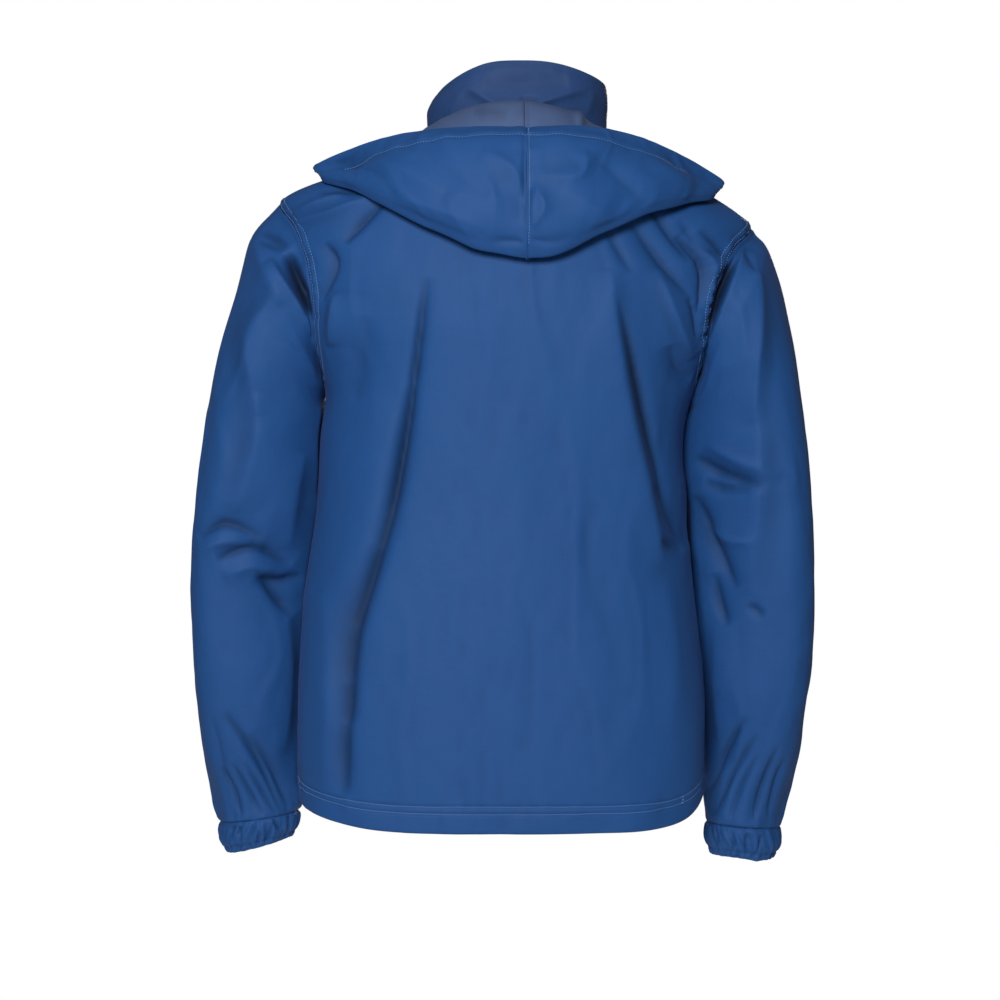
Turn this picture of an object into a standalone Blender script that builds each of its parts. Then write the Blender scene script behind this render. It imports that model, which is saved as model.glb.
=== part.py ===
"""A hooded parka of light woven nylon, zipped up and filled out as if worn, with nobody in it.

The origin is the middle of the neck opening, where the wearer's neck and shoulders hold the
jacket up. +Z is up, the front faces -Y, and the wearer's left is +X. Tables are in millimetres
and are scaled to metres when a piece is made. "left" and "right" are the wearer's.
"""

import math

import bpy
import numpy as np
from mathutils import Matrix, Vector
from mathutils.bvhtree import BVHTree

MM = 0.001

# Cloth and seams, in millimetres.
CLOTH = 1.2
COLLAR_CLOTH = 2.6
CUFF_CLOTH = 1.6
SEAM_GAP = 0.3
FLAT_SEAM = 3.5
SLEEVE_CLEARANCE = 2.5
HOOD_CLEARANCE = 3.0

# Driving sizes, in millimetres.
BACK_LENGTH = 712.0
UNDERARM_UP = 438.0
SHOULDER_UP = 614.0
LYING_FROM = 112.0
ZIP_WIDTH = 13.0
ZIP_TAPE = 1.2
ZIP_CHAIN = 2.4
ZIP_CHAIN_WIDTH = 5.5
ZIP_RAISED = 0.6
CUFF_GATHERS = 14
CUFF_GATHER_DEPTH = 1.3
WRIST_PLEATS = 6
WRIST_PLEAT_DEPTH = 3.0

# How far the armhole reaches round the chest from the side, in degrees.
ARMHOLE_BACK = 20.0
ARMHOLE_FRONT = 25.0
ARMHOLE_ENDS = 0.7

# The zip's slider and pull tab, in millimetres. The pull hangs in a loop on the slider's face.
SLIDER_LENGTH = 9.0
SLIDER_WIDTH = 8.4
SLIDER_PLATE = 1.2
SLIDER_PLAY = 0.35
SLIDER_POST = 2.0
LOOP_BAR = 1.0
LOOP_WIDTH = 2.0
LOOP_INSIDE = 2.4
PULL_LENGTH = 21.0
PULL_WIDTH = 6.0
PULL_THICK = 1.0
PULL_EYE = (3.0, 4.2)

# How finely each piece is divided.
BACK_COLUMNS = 24
FRONT_COLUMNS = 10
BODY_ROWS = 11
ARMHOLE_ROWS = 12
SHOULDER_ROWS = 3
SLEEVE_ROWS = 19
CUFF_ROWS = 2
COLLAR_COLUMNS = 36
COLLAR_ROWS = 4
HOOD_COLUMNS = 14
HOOD_ROWS = (3, 3, 2, 2, 3, 3)
ZIP_ROWS = 26

# The body, one row for each level from the hem to the neck. "up" is measured along the middle
# of the back. Each level passes through a point at the back, both sides and the front, "square"
# is how boxy its outline is, and a side's bend how near that side it leaves its middle's height.
BODY_TABLE = (
    "up", "back_y", "back_z", "left_x", "left_z", "right_x", "right_z", "front_y", "front_z",
    "middle_x", "square", "left_bend", "right_bend",
)
BODY = (
    (0, 118, -663, 219, -640, -183, -628, -122, -650, 18, 2.75, 8, 18),
    (45, 120, -618, 220, -602, -184, -594, -124, -606, 18, 2.75, 8, 18),
    (118, 121, -545, 219, -538, -183, -536, -126, -540, 18, 2.65, 6, 6),
    (218, 121, -445, 213, -442, -174, -442, -128, -442, 17, 2.5, 3, 3),
    (318, 121, -345, 200, -345, -166, -345, -130, -345, 15, 2.45, 2, 2),
    (378, 124, -285, 197, -286, -162, -286, -132, -286, 13, 2.4, 2, 2),
    (438, 128, -225, 193, -226, -175, -232, -131, -232, 10, 2.35, 2, 2),
    (488, 131, -175, 216, -180, -198, -188, -127, -186, 8, 2.3, 2, 2),
    (540, 129, -124, 233, -128, -218, -143, -120, -146, 6, 2.25, 2, 2),
    (580, 122, -84, 239, -82, -230, -102, -110, -116, 4.5, 2.15, 2, 2),
    (614, 113, -51, 238, -49, -231, -73, -101, -96, 3, 2.1, 2, 2),
    (650, 98, -17, 192, -27, -190, -43, -88, -76, 2, 2.05, 2, 2),
    (682, 83, 11, 134, -8, -132, -16, -79, -62, 1, 2.0, 2, 2),
    (712, 66, 37, 84, 2, -82, 0, -73, -50, 1, 2.0, 2, 2),
)

# The stand collar in the same way, from the neck seam to its top edge.
COLLAR_TABLE = ("rise",) + BODY_TABLE[1:]
COLLAR = (
    (0, 66, 37, 84, 2, -82, 0, -73, -50, 1, 2.0, 2.0, 2.0),
    (7, 66.5, 44, 88, 10, -86, 8, -75, -44, 1, 2.0, 2.0, 2.0),
    (30, 67, 62, 92, 38, -89, 40, -79, -22, 1, 2.1, 2.4, 2.4),
    (54, 60, 83, 84, 55, -87, 66, -74, 6, 1, 2.3, 3.4, 3.4),
)

# Each sleeve, one row for each ring below the armhole. The ring's middle is at x, y, z, its
# outer, inner and front-to-back half widths follow, "skew" is how much further in its front is,
# and "tilt" lifts its outer side, in degrees.
SLEEVE_TABLE = ("down", "x", "y", "z", "half_out", "half_in", "half_back", "skew", "tilt")
SLEEVE_LEFT = (
    (60, 231, -1, -158, 81.0, 85, 69, 0.00, 63.8),
    (120, 242, -3, -195, 64.5, 72, 69, 0.05, 48.7),
    (185, 252, -6, -243.5, 55.0, 68, 67, 0.15, 18.7),
    (265, 260.5, -12, -310, 54.0, 72, 65, 0.28, 4.8),
    (335, 269, -19, -376.5, 52.5, 72, 63, 0.34, 1.5),
    (405, 275.5, -26, -445, 49.0, 70, 61, 0.36, 0.0),
    (493, 275, -33, -533, 47.0, 62, 57, 0.30, -2.0),
    (562, 271.5, -38, -601.5, 45.5, 52, 50, 0.16, -4.0),
    (629, 263, -42, -666, 41.5, 40, 40, 0.00, -8.0),
    (657, 263, -43, -694, 38.5, 38, 38, 0.00, -14.0),
)
SLEEVE_RIGHT = (
    (60, -212.5, -1, -166, 77.0, 84, 70, 0.00, 62.3),
    (120, -222, -3, -200, 61.0, 73, 71, 0.05, 45.6),
    (185, -232, -7, -243.5, 47.5, 74, 71, 0.16, 21.9),
    (265, -238.5, -13, -310, 45.5, 78, 70, 0.28, 5.7),
    (335, -241.5, -19, -376.5, 46.0, 76, 68, 0.34, 1.7),
    (405, -241.5, -26, -445, 46.5, 72, 64, 0.36, 0.0),
    (493, -241, -33, -524, 47.0, 62, 60, 0.28, -1.0),
    (562, -238.5, -38, -588, 46.5, 52, 52, 0.14, -2.5),
    (643, -227, -42, -674, 39.5, 37, 40, 0.00, -4.0),
    (672, -226, -43, -705, 37.5, 36, 38, 0.00, -6.0),
)
WRIST_ROW = -2

# The hood, thrown back, one row for each section from its middle seam to where it ends in front
# of the shoulder. "round" is the section's place on the neck, in degrees from the middle of the
# back. A section runs from the neck down to a roll and up again to the hood's edge.
HOOD_TABLE = ("round", "fold_x", "fold_y", "fold_z", "edge_x", "edge_y", "edge_z", "bulge", "roll")
HOOD_LEFT = (
    (-4, -6, 150, -119, -6, 133, 7, 11, 8),
    (22, 42, 149, -109, 40, 131, 8, 12, 8),
    (45, 84, 139, -90, 87, 120, 7, 11, 7),
    (65, 131, 119, -65, 130, 99, 3, 8, 5.5),
    (82, 166, 90, -46, 168, 69, -5, 5, 4),
    (100, 196, 45, -30, 202, 31, -15, 2, 3.5),
    (114, 152, -10, -9, 161, -16, 2, 1, 3.5),
    (126, 104, -37, -7, 113, -40, 1, 0, 3.5),
)
HOOD_RIGHT = (
    (4, -6, 150, -119, -6, 133, 7, 11, 8),
    (26, -39, 149, -113, -50, 131, 9, 12, 8),
    (47, -78, 140, -94, -90, 119, 7, 11, 7),
    (66, -125, 122, -72, -130, 98, -1, 8, 5.5),
    (82, -164, 91, -59, -165, 68, -13, 5, 4),
    (100, -193, 45, -47, -201, 31, -30, 2, 3.5),
    (114, -152, -10, -20, -161, -16, -10, 1, 3.5),
    (126, -104, -37, -11, -113, -40, -4, 0, 3.5),
)

# The largest folds. Each is a ridge, or a trough where its depth is negative, along a bent line
# through three points seen square on. "half_width" is half the width of the fold.
FOLD_TABLE = ("x1", "z1", "x2", "z2", "x3", "z3", "half_width", "depth")
BACK_FOLDS = (
    (96, -130, 82, -300, 146, -490, 17, -7),
    (120, -150, 116, -300, 178, -480, 20, 4),
    (-92, -118, -118, -270, -168, -440, 17, -8),
    (-66, -140, -92, -300, -136, -470, 20, 5),
    (-136, -60, -150, -120, -182, -160, 13, -7),
    (-178, -85, -194, -115, -190, -165, 12, -7),
    (150, -52, 172, -72, 182, -100, 13, -6),
    (205, -90, 193, -120, 205, -155, 14, -6),
    (196, -440, 182, -540, 190, -620, 17, -4),
)
FRONT_FOLDS = (
    (104, -150, 88, -300, 128, -500, 18, -7),
    (64, -190, 54, -330, 80, -560, 20, 4),
    (-92, -160, -86, -300, -122, -480, 18, -7),
    (-50, -200, -44, -340, -68, -560, 20, 4),
    (184, -130, 172, -165, 154, -205, 14, -5),
    (-176, -115, -168, -155, -154, -195, 14, -6),
)
SLEEVE_LEFT_FOLDS = (
    (318, -372, 292, -372, 252, -392, 14, -6),
    (300, -410, 268, -398, 228, -416, 13, 5),
    (262, -440, 240, -436, 212, -440, 13, -6),
    (262, -90, 240, -112, 218, -150, 13, -7),
    (250, -130, 238, -170, 215, -225, 14, -7),
    (290, -540, 262, -590, 246, -640, 14, -5),
)
SLEEVE_RIGHT_FOLDS = (
    (-180, -305, -204, -318, -244, -336, 14, -6),
    (-176, -335, -205, -336, -225, -332, 12, -5),
    (-186, -372, -204, -402, -214, -432, 13, -6),
    (-236, -120, -222, -160, -196, -225, 14, -6),
    (-200, -470, -214, -540, -226, -600, 14, -5),
    (-232, -540, -246, -600, -240, -650, 13, -4),
)

CLOTH_BLUE = (0.030, 0.098, 0.275, 1.0)
ZIP_BLUE = (0.022, 0.062, 0.170, 1.0)
METAL_GREY = (0.30, 0.31, 0.33, 1.0)


def column(columns, rows, name):
    """One named column of a table."""
    return np.array([row[columns.index(name)] for row in rows], float)


def through(knots, values, at):
    """A smooth curve through the values at the knots, read at the places given."""
    at = np.clip(np.asarray(at, float), knots[0], knots[-1])
    step = np.diff(knots)
    slope = (np.diff(values, axis=0).T / step).T
    weight = step[1:] / (step[1:] + step[:-1])
    inner = (slope[:-1].T * weight + slope[1:].T * (1 - weight)).T
    tangent = np.concatenate([slope[:1], inner, slope[-1:]])
    i = np.clip(np.searchsorted(knots, at, side="right") - 1, 0, len(step) - 1)
    t, run = (at - knots[i]) / step[i], step[i]
    if values.ndim > 1:
        t, run = t[..., None], run[..., None]
    start = values[i] * (1 + 2 * t) * (1 - t) ** 2 + tangent[i] * run * t * (1 - t) ** 2
    return start + values[i + 1] * t**2 * (3 - 2 * t) + tangent[i + 1] * run * t**2 * (t - 1)


def reader(columns, rows):
    """A function that reads any column of a table at any place along its first column."""
    knots = column(columns, rows, columns[0])
    return lambda name, at: through(knots, column(columns, rows, name), at)


body_at = reader(BODY_TABLE, BODY)
collar_at = reader(COLLAR_TABLE, COLLAR)


def ring(read, turn, level):
    """A point on a level's outline; turn is 0 at the middle of the back and 90 degrees left."""
    middle = read("middle_x", level)
    half = np.where(np.sin(turn) >= 0, read("left_x", level) - middle, middle - read("right_x", level))
    at_back = np.cos(turn) >= 0
    depth = np.where(at_back, read("back_y", level), -read("front_y", level))
    square = read("square", level)
    across, along = np.abs(np.sin(turn)) / half, np.abs(np.cos(turn)) / depth
    reach = (across**square + along**square) ** (-1 / square)
    side_z = np.where(np.sin(turn) >= 0, read("left_z", level), read("right_z", level))
    middle_z = np.where(at_back, read("back_z", level), read("front_z", level))
    bend = np.where(np.sin(turn) >= 0, read("left_bend", level), read("right_bend", level))
    sideways = np.abs(np.sin(turn)) ** bend
    z = middle_z + (side_z - middle_z) * sideways
    return np.stack([middle + reach * np.sin(turn), reach * np.cos(turn), z], axis=-1)


def body_form(turn, up):
    """The body without its folds."""
    return ring(body_at, turn, up)


def body_outward(turn, up):
    """The way straight out of the body."""
    along_turn = body_form(turn + 0.004, up) - body_form(turn - 0.004, up)
    along_up = body_form(turn, up + 1.0) - body_form(turn, up - 1.0)
    out = np.cross(along_up, along_turn)
    return out / np.linalg.norm(out, axis=-1, keepdims=True)


def folds_at(points, folds):
    """How far the folds move each point out, or in where negative, from where it is square on."""
    seen = points[..., [0, 2]]
    moved = np.zeros(points.shape[:-1])
    for fold in folds:
        ends = np.array(fold[:6], float).reshape(3, 2)
        line = through(np.array([0.0, 0.5, 1.0]), ends, np.linspace(0, 1, 13))
        apart, taper = np.full(moved.shape, np.inf), np.zeros(moved.shape)
        for i in range(12):
            run = line[i + 1] - line[i]
            t = np.clip((seen - line[i]) @ run / (run @ run), 0, 1)
            off = np.linalg.norm(seen - line[i] - t[..., None] * run, axis=-1)
            nearer = off < apart
            apart = np.where(nearer, off, apart)
            taper = np.where(nearer, np.sin(math.pi * (i + t) / 12) ** 0.7, taper)
        half_width, depth = fold[6:]
        moved += depth * taper * np.exp(-((apart / half_width) ** 2))
    return moved


def armhole_reach(up):
    """How deep the armhole is at a level: 0 at its two ends and 1 half way up."""
    middle, half = (UNDERARM_UP + SHOULDER_UP) / 2, (SHOULDER_UP - UNDERARM_UP) / 2
    return (1 - np.clip((np.asarray(up, float) - middle) / half, -1, 1) ** 2) ** ARMHOLE_ENDS


def body(turn, up):
    """The body's outer face with its folds, which fade out at the seams and at the zip."""
    plain = body_form(turn, up)
    round_from_back = np.degrees(np.arccos(np.clip(np.cos(turn), -1, 1)))
    at_back = round_from_back <= 90
    to_seam = np.where(
        at_back,
        90 - ARMHOLE_BACK * armhole_reach(up) - round_from_back,
        round_from_back - 90 - ARMHOLE_FRONT * armhole_reach(up),
    )
    to_zip = np.where(at_back, 90, 180 - round_from_back - 6)
    fade = np.clip(to_seam / 12, 0, 1) * np.clip(to_zip / 12, 0, 1)
    height = np.where(at_back, folds_at(plain, BACK_FOLDS), folds_at(plain, FRONT_FOLDS))
    return plain + body_outward(turn, up) * (height * fade)[..., None]


def panel_levels(near_seam):
    """The heights of a panel's rows: even ones, but by even angles where they meet the armhole."""
    middle, half = (UNDERARM_UP + SHOULDER_UP) / 2, (SHOULDER_UP - UNDERARM_UP) / 2
    below = np.linspace(0, UNDERARM_UP, BODY_ROWS + 1)[:-1]
    even = np.linspace(UNDERARM_UP, SHOULDER_UP, ARMHOLE_ROWS + 1)
    by_angle = middle - half * np.cos(np.linspace(0, math.pi, ARMHOLE_ROWS + 1))
    above = np.linspace(SHOULDER_UP, BACK_LENGTH, SHOULDER_ROWS + 1)[1:]
    levels = [np.concatenate([below, armhole, above])[:, None] for armhole in (even, by_angle)]
    return levels[0] + (levels[1] - levels[0]) * near_seam**4


def seamed(start, end, count, narrow=0.01):
    """Even steps from start to end, with a narrow one at each end along the seam."""
    inside = np.linspace(narrow, 1 - narrow, count - 1)
    return start + (end - start) * np.concatenate([[0], inside, [1]])


def panel_points(share, turn_of):
    """A panel's outer points, row by row. Its two side edges stand back from the seams."""
    up = panel_levels(np.abs(share))
    points = body(np.radians(turn_of(share, up)), up)
    for edge, inner in ((0, 1), (-1, -2)):
        run = points[:, inner] - points[:, edge]
        points[:, edge] += run / np.linalg.norm(run, axis=-1, keepdims=True) * SEAM_GAP / 2
    return points


def back_turn(share, up):
    """From the left side seam, 1, to the right one, -1, with the outer columns bent round."""
    return 90 * share - ARMHOLE_BACK * armhole_reach(up) * share**3


def front_turn(share, up, side):
    """From the zip to a side seam; side is 1 on the left and -1 on the right."""
    edge = np.degrees((ZIP_WIDTH / 2 + SEAM_GAP / 2) / -body_at("front_y", up))
    return side * (180 - edge - (90 - edge) * share + ARMHOLE_FRONT * armhole_reach(up) * share**3)


def new_material(name, colour, roughness, metallic=0.0):
    made = bpy.data.materials.new(name)
    made.use_nodes = True
    shader = made.node_tree.nodes["Principled BSDF"]
    shader.inputs["Base Color"].default_value = colour
    shader.inputs["Roughness"].default_value = roughness
    shader.inputs["Metallic"].default_value = metallic
    return made


def grid_faces(rows, columns, closed=False, flip=False):
    """The faces of a grid of points, row by row. A closed grid joins its last column to its first."""
    faces = []
    for i in range(rows - 1):
        for j in range(columns if closed else columns - 1):
            k = (j + 1) % columns
            face = (i * columns + j, i * columns + k, (i + 1) * columns + k, (i + 1) * columns + j)
            faces.append(face[::-1] if flip else face)
    return faces


def new_piece(name, points, faces, material):
    mesh = bpy.data.meshes.new(name)
    mesh.from_pydata((np.asarray(points, float).reshape(-1, 3) * MM).tolist(), [], faces)
    mesh.materials.append(material)
    piece = bpy.data.objects.new(name, mesh)
    parka.objects.link(piece)
    return piece


def cloth(name, points, thickness, closed=False, flip=False):
    """A piece of cloth through a grid of outer points, given its thickness inwards."""
    faces = grid_faces(*points.shape[:2], closed, flip)
    piece = new_piece(name, points, faces, shell)
    piece.data.shade_smooth()
    wall = piece.modifiers.new("wall", "SOLIDIFY")
    wall.thickness = thickness * MM
    wall.offset = -1
    return piece


def search_tree(grids):
    """A search tree over grids of outer points, each given with whether its faces are flipped."""
    points, faces = [], []
    for grid, flip in grids:
        start = len(points)
        faces += [tuple(start + i for i in face) for face in grid_faces(*grid.shape[:2], flip=flip)]
        points += [Vector(p) for p in grid.reshape(-1, 3)]
    return BVHTree.FromPolygons(points, faces)


def keep_clear(points, tree, clearance, reach=40.0):
    """Points nearer to the panels than the clearance, or behind them, are moved straight out."""
    moved = points.reshape(-1, 3).copy()
    for i, point in enumerate(moved):
        place, normal, _, _ = tree.find_nearest(Vector(point), reach)
        if place is None:
            continue
        out = (Vector(point) - place).dot(normal)
        if out < clearance:
            moved[i] += np.array(normal) * (clearance - out)
    return moved.reshape(points.shape)


def armhole(side):
    """The armhole's points, from the shoulder down the back and up the front, and the way off it."""
    middle, half = (UNDERARM_UP + SHOULDER_UP) / 2, (SHOULDER_UP - UNDERARM_UP) / 2
    angle = np.linspace(0, 2 * math.pi, 2 * ARMHOLE_ROWS + 1)[:-1]
    up = middle + half * np.cos(angle)
    depth = np.where(np.sin(angle) >= 0, ARMHOLE_BACK, -ARMHOLE_FRONT) * armhole_reach(up)
    turn = side * np.radians(90 - depth)
    edge = body(turn, up)
    inner = body(turn - side * np.radians(np.sin(angle)), up + 4.0 * np.cos(angle))
    off = edge - inner
    return edge, off / np.linalg.norm(off, axis=-1, keepdims=True)


def sleeve_ring(rows, side, angle, down):
    """A ring of a sleeve at a distance down it; angle 0 is its outer side and 90 degrees its back."""
    read = reader(SLEEVE_TABLE, rows)
    tilt = np.radians(read("tilt", down))
    out = np.cos(angle) * np.where(np.cos(angle) >= 0, read("half_out", down), read("half_in", down))
    back = np.sin(angle) * read("half_back", down)
    x = read("x", down) + side * (out * np.cos(tilt) + read("skew", down) * back)
    return np.stack([x, read("y", down) + back, read("z", down) + out * np.sin(tilt)], axis=-1)


def sleeve_points(rows, side, folds):
    """A sleeve's outer points, ring by ring from the armhole to the wrist."""
    angle = np.linspace(0, 2 * math.pi, 2 * ARMHOLE_ROWS + 1)[:-1]
    edge, off = armhole(side)
    cap, wrist = rows[0][0], rows[WRIST_ROW][0] - SEAM_GAP / 2
    down = np.linspace(cap, wrist, SLEEVE_ROWS)
    tube = np.stack([sleeve_ring(rows, side, angle, np.full(angle.shape, d)) for d in down])
    start = edge + off * FLAT_SEAM
    across = np.linalg.norm(tube[0] - start, axis=-1, keepdims=True)
    lead = (tube[1] - tube[0]) / (down[1] - down[0]) * across
    top = [edge + off * 1.4 * SEAM_GAP, start]
    for t in (1 / 3, 2 / 3):
        near = start * (1 + 2 * t) * (1 - t) ** 2 + off * 0.7 * across * t * (1 - t) ** 2
        top.append(near + tube[0] * t**2 * (3 - 2 * t) + lead * t**2 * (t - 1))
    points = np.concatenate([top, tube])
    along = np.linspace(0, 1, len(points))[:, None]
    height = folds_at(points, folds) * np.clip(along * 6, 0, 1) * np.clip((1 - along) * 8, 0, 1)
    near_wrist = np.clip((along - 0.68) / 0.32, 0, 1)
    height = height + WRIST_PLEAT_DEPTH * near_wrist * (1 - near_wrist**6) * np.cos(WRIST_PLEATS * angle)
    away = points - points.mean(axis=1, keepdims=True)
    away[..., 2] *= 0.2
    away /= np.linalg.norm(away, axis=-1, keepdims=True)
    points += away * height[..., None]
    inner = np.flatnonzero(np.cos(angle) < 0)
    lower = slice(len(top) + 2, None)
    points[lower, inner] = keep_clear(points[lower, inner], body_tree, SLEEVE_CLEARANCE)
    return points


def cuff_points(rows, side):
    """A ruched cuff's outer points, from the wrist seam to its open end."""
    angle = np.linspace(0, 2 * math.pi, 4 * CUFF_GATHERS + 1)[:-1]
    top, end = rows[WRIST_ROW][0] + SEAM_GAP / 2, rows[-1][0]
    rings = []
    for share in np.linspace(0, 1, CUFF_ROWS + 1):
        points = sleeve_ring(rows, side, angle, np.full(angle.shape, top + (end - top) * share))
        away = points - points.mean(axis=0)
        away /= np.linalg.norm(away, axis=-1, keepdims=True)
        depth = CUFF_GATHER_DEPTH * min(1.0, 2 * share) * np.cos(CUFF_GATHERS * angle)
        rings.append(points + away * depth[:, None])
    return np.stack(rings)


def collar_points():
    """The collar's outer points, from the neck seam up to its edge, with its ends at the zip."""
    rise = np.linspace(0, COLLAR[-1][0], COLLAR_ROWS + 1)
    share, level = np.meshgrid(seamed(1, -1, COLLAR_COLUMNS), rise)
    edge = (ZIP_WIDTH / 2 + SEAM_GAP / 2) / -collar_at("front_y", level)
    points = ring(collar_at, share * (math.pi - edge), level)
    points[0, :, 2] += 2 * SEAM_GAP
    return points


def hood_points(rows, side):
    """Half of the hood, section by section from its middle seam."""
    read = reader(HOOD_TABLE, rows)
    stops = np.cumsum((0,) + HOOD_ROWS).astype(float)
    sections = []
    for place in seamed(rows[0][0], rows[-1][0], HOOD_COLUMNS):
        neck = body_form(np.radians(side * place), BACK_LENGTH - 4.0)
        fold = np.array([read(f"fold_{axis}", place) for axis in "xyz"])
        edge = np.array([read(f"edge_{axis}", place) for axis in "xyz"])
        run_x, run_y = (read(f"fold_{axis}", place + 1) - read(f"fold_{axis}", place - 1) for axis in "xy")
        out = np.array([-side * run_y, side * run_x, 0.0]) / math.hypot(run_x, run_y)
        roll, bulge = read("roll", place), read("bulge", place)
        rise = np.array([0, 0, 1.3 * roll])
        turned_up = np.array([
            neck,
            neck * 0.5 + (fold + rise) * 0.5 + out * 5,
            fold - out * 2 * roll + rise,
            fold - out * roll,
            fold + rise,
            fold * 0.45 + edge * 0.55 + out * bulge,
            edge,
        ])
        lying = neck + (edge - neck) * np.array([0, 0.4, 0.6, 0.7, 0.8, 0.9, 1.0])[:, None]
        turn_up = np.clip((LYING_FROM - place) / 16, 0, 1)
        stations = lying + (turned_up - lying) * turn_up
        along = np.concatenate([[0], np.cumsum(np.linalg.norm(np.diff(stations, axis=0), axis=1))])
        sections.append(through(along, stations, np.interp(np.arange(stops[-1] + 1), stops, along)))
    points = np.stack(sections)
    points[0, :, 0] += side * 2 * SEAM_GAP
    return keep_clear(points, body_tree, HOOD_CLEARANCE)


def zip_line():
    """The middle of the zip, from the hem up the fronts and the collar."""
    places = []
    for up in np.linspace(2, BACK_LENGTH - 6, ZIP_ROWS):
        places.append([body_at(name, up) for name in ("middle_x", "front_y", "front_z")])
    for rise in np.linspace(4, ZIP_TOP, 5):
        places.append([collar_at(name, rise) for name in ("middle_x", "front_y", "front_z")])
    return np.array(places, float)


def zip_half(name, side):
    """One of the zip's tapes with its row of teeth: a section swept up the zip's middle line."""
    inner, chain, outer = SEAM_GAP / 2, ZIP_CHAIN_WIDTH / 2, ZIP_WIDTH / 2 - SEAM_GAP / 2
    back = ZIP_RAISED - ZIP_CHAIN
    section = (
        (inner, ZIP_RAISED), (chain, ZIP_RAISED), (chain, 0), (outer, 0),
        (outer, -ZIP_TAPE), (chain, -ZIP_TAPE), (chain, back), (inner, back),
    )
    line = zip_line()
    along = np.gradient(line, axis=0)
    outward = np.cross((1.0, 0.0, 0.0), along)
    outward /= np.linalg.norm(outward, axis=1, keepdims=True)
    rings = [[p + (side * x, 0, 0) + out * y for x, y in section] for p, out in zip(line, outward)]
    count = len(section)
    faces = grid_faces(len(rings), count, closed=True, flip=side < 0)
    bottom, top = tuple(range(count)), tuple(range((len(rings) - 1) * count, len(rings) * count))
    faces += [bottom[::-1], top] if side > 0 else [bottom, top[::-1]]
    return new_piece(name, rings, faces, zip_tape)


def side_cut(name, outline, half_width, material):
    """A solid with the given outline seen from the side, as y and z, and a width across it."""
    points = [(x, y, z) for x in (-half_width, half_width) for y, z in outline]
    count = len(outline)
    faces = [(i, (i + 1) % count, count + (i + 1) % count, count + i) for i in range(count)]
    faces += [tuple(range(count))[::-1], tuple(range(count, 2 * count))]
    return new_piece(name, points, faces, material)


def join_or_cut(piece, other, operation):
    """Joins a helper to a piece, or cuts it out, and hides the helper."""
    change = piece.modifiers.new(operation.lower(), "BOOLEAN")
    change.operation = operation
    change.solver = "EXACT"
    change.object = other
    parka.objects.unlink(other)
    cutters.objects.link(other)
    other.hide_render = True


def zip_slider():
    """The slider at the top of the closed zip, and its pull hanging in the loop on its face."""
    face = -ZIP_RAISED - SLIDER_PLAY
    front = face - SLIDER_PLATE
    inside = ZIP_CHAIN - ZIP_RAISED + SLIDER_PLAY
    rear = inside + SLIDER_PLATE
    low, post, top = -SLIDER_LENGTH, SLIDER_PLAY, SLIDER_PLAY + SLIDER_POST
    plates = (
        (front, low), (face, low), (face, post), (inside, post),
        (inside, low), (rear, low), (rear, top), (front, top),
    )
    slider = side_cut("zip_slider", plates, SLIDER_WIDTH / 2, metal)
    window = front - LOOP_INSIDE
    bar = window - LOOP_BAR
    loop_low, loop_high = low + 3.0, top - 0.4
    loop = side_cut(
        "slider_loop",
        (
            (face - 0.5, loop_low), (face - 0.5, loop_low + LOOP_BAR), (window, loop_low + LOOP_BAR),
            (window, loop_high - LOOP_BAR), (face - 0.5, loop_high - LOOP_BAR), (face - 0.5, loop_high),
            (bar, loop_high), (bar, loop_low),
        ),
        LOOP_WIDTH / 2,
        metal,
    )
    join_or_cut(slider, loop, "UNION")
    hinge_y, hinge_z = front - LOOP_INSIDE / 2, loop_low + LOOP_BAR + PULL_THICK / 2 + 0.3
    half = PULL_THICK / 2
    plate = ((-half, half), (-half, half - PULL_LENGTH), (half, half - PULL_LENGTH), (half, half))
    pull = side_cut("zip_pull", plate, PULL_WIDTH / 2, metal)
    eye_low = -half - PULL_EYE[1]
    eye = side_cut(
        "pull_eye", ((-1, -half), (-1, eye_low), (1, eye_low), (1, -half)), PULL_EYE[0] / 2, metal
    )
    join_or_cut(pull, eye, "DIFFERENCE")
    line = zip_line()
    run = line[-1] - line[-2]
    tilt = math.atan2(run[1], run[2])
    place = Matrix.Translation(Vector(line[-1]) * MM) @ Matrix.Rotation(-tilt, 4, "X")
    hinge = place @ Matrix.Translation(Vector((0, hinge_y, hinge_z)) * MM)
    for piece, matrix in ((slider, place), (loop, place), (pull, hinge), (eye, hinge)):
        piece.matrix_world = matrix


ZIP_TOP = COLLAR[-1][0] - 6.0

bpy.ops.object.select_all(action="DESELECT")
for old in list(bpy.data.objects):
    bpy.data.objects.remove(old)
parka = bpy.data.collections.new("parka")
bpy.context.scene.collection.children.link(parka)
cutters = bpy.data.collections.new("cutters")
bpy.context.scene.collection.children.link(cutters)
cutters.hide_render = True

shell = new_material("shell", CLOTH_BLUE, 0.55)
zip_tape = new_material("zip_tape", ZIP_BLUE, 0.7)
metal = new_material("metal", METAL_GREY, 0.35, 1.0)

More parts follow.
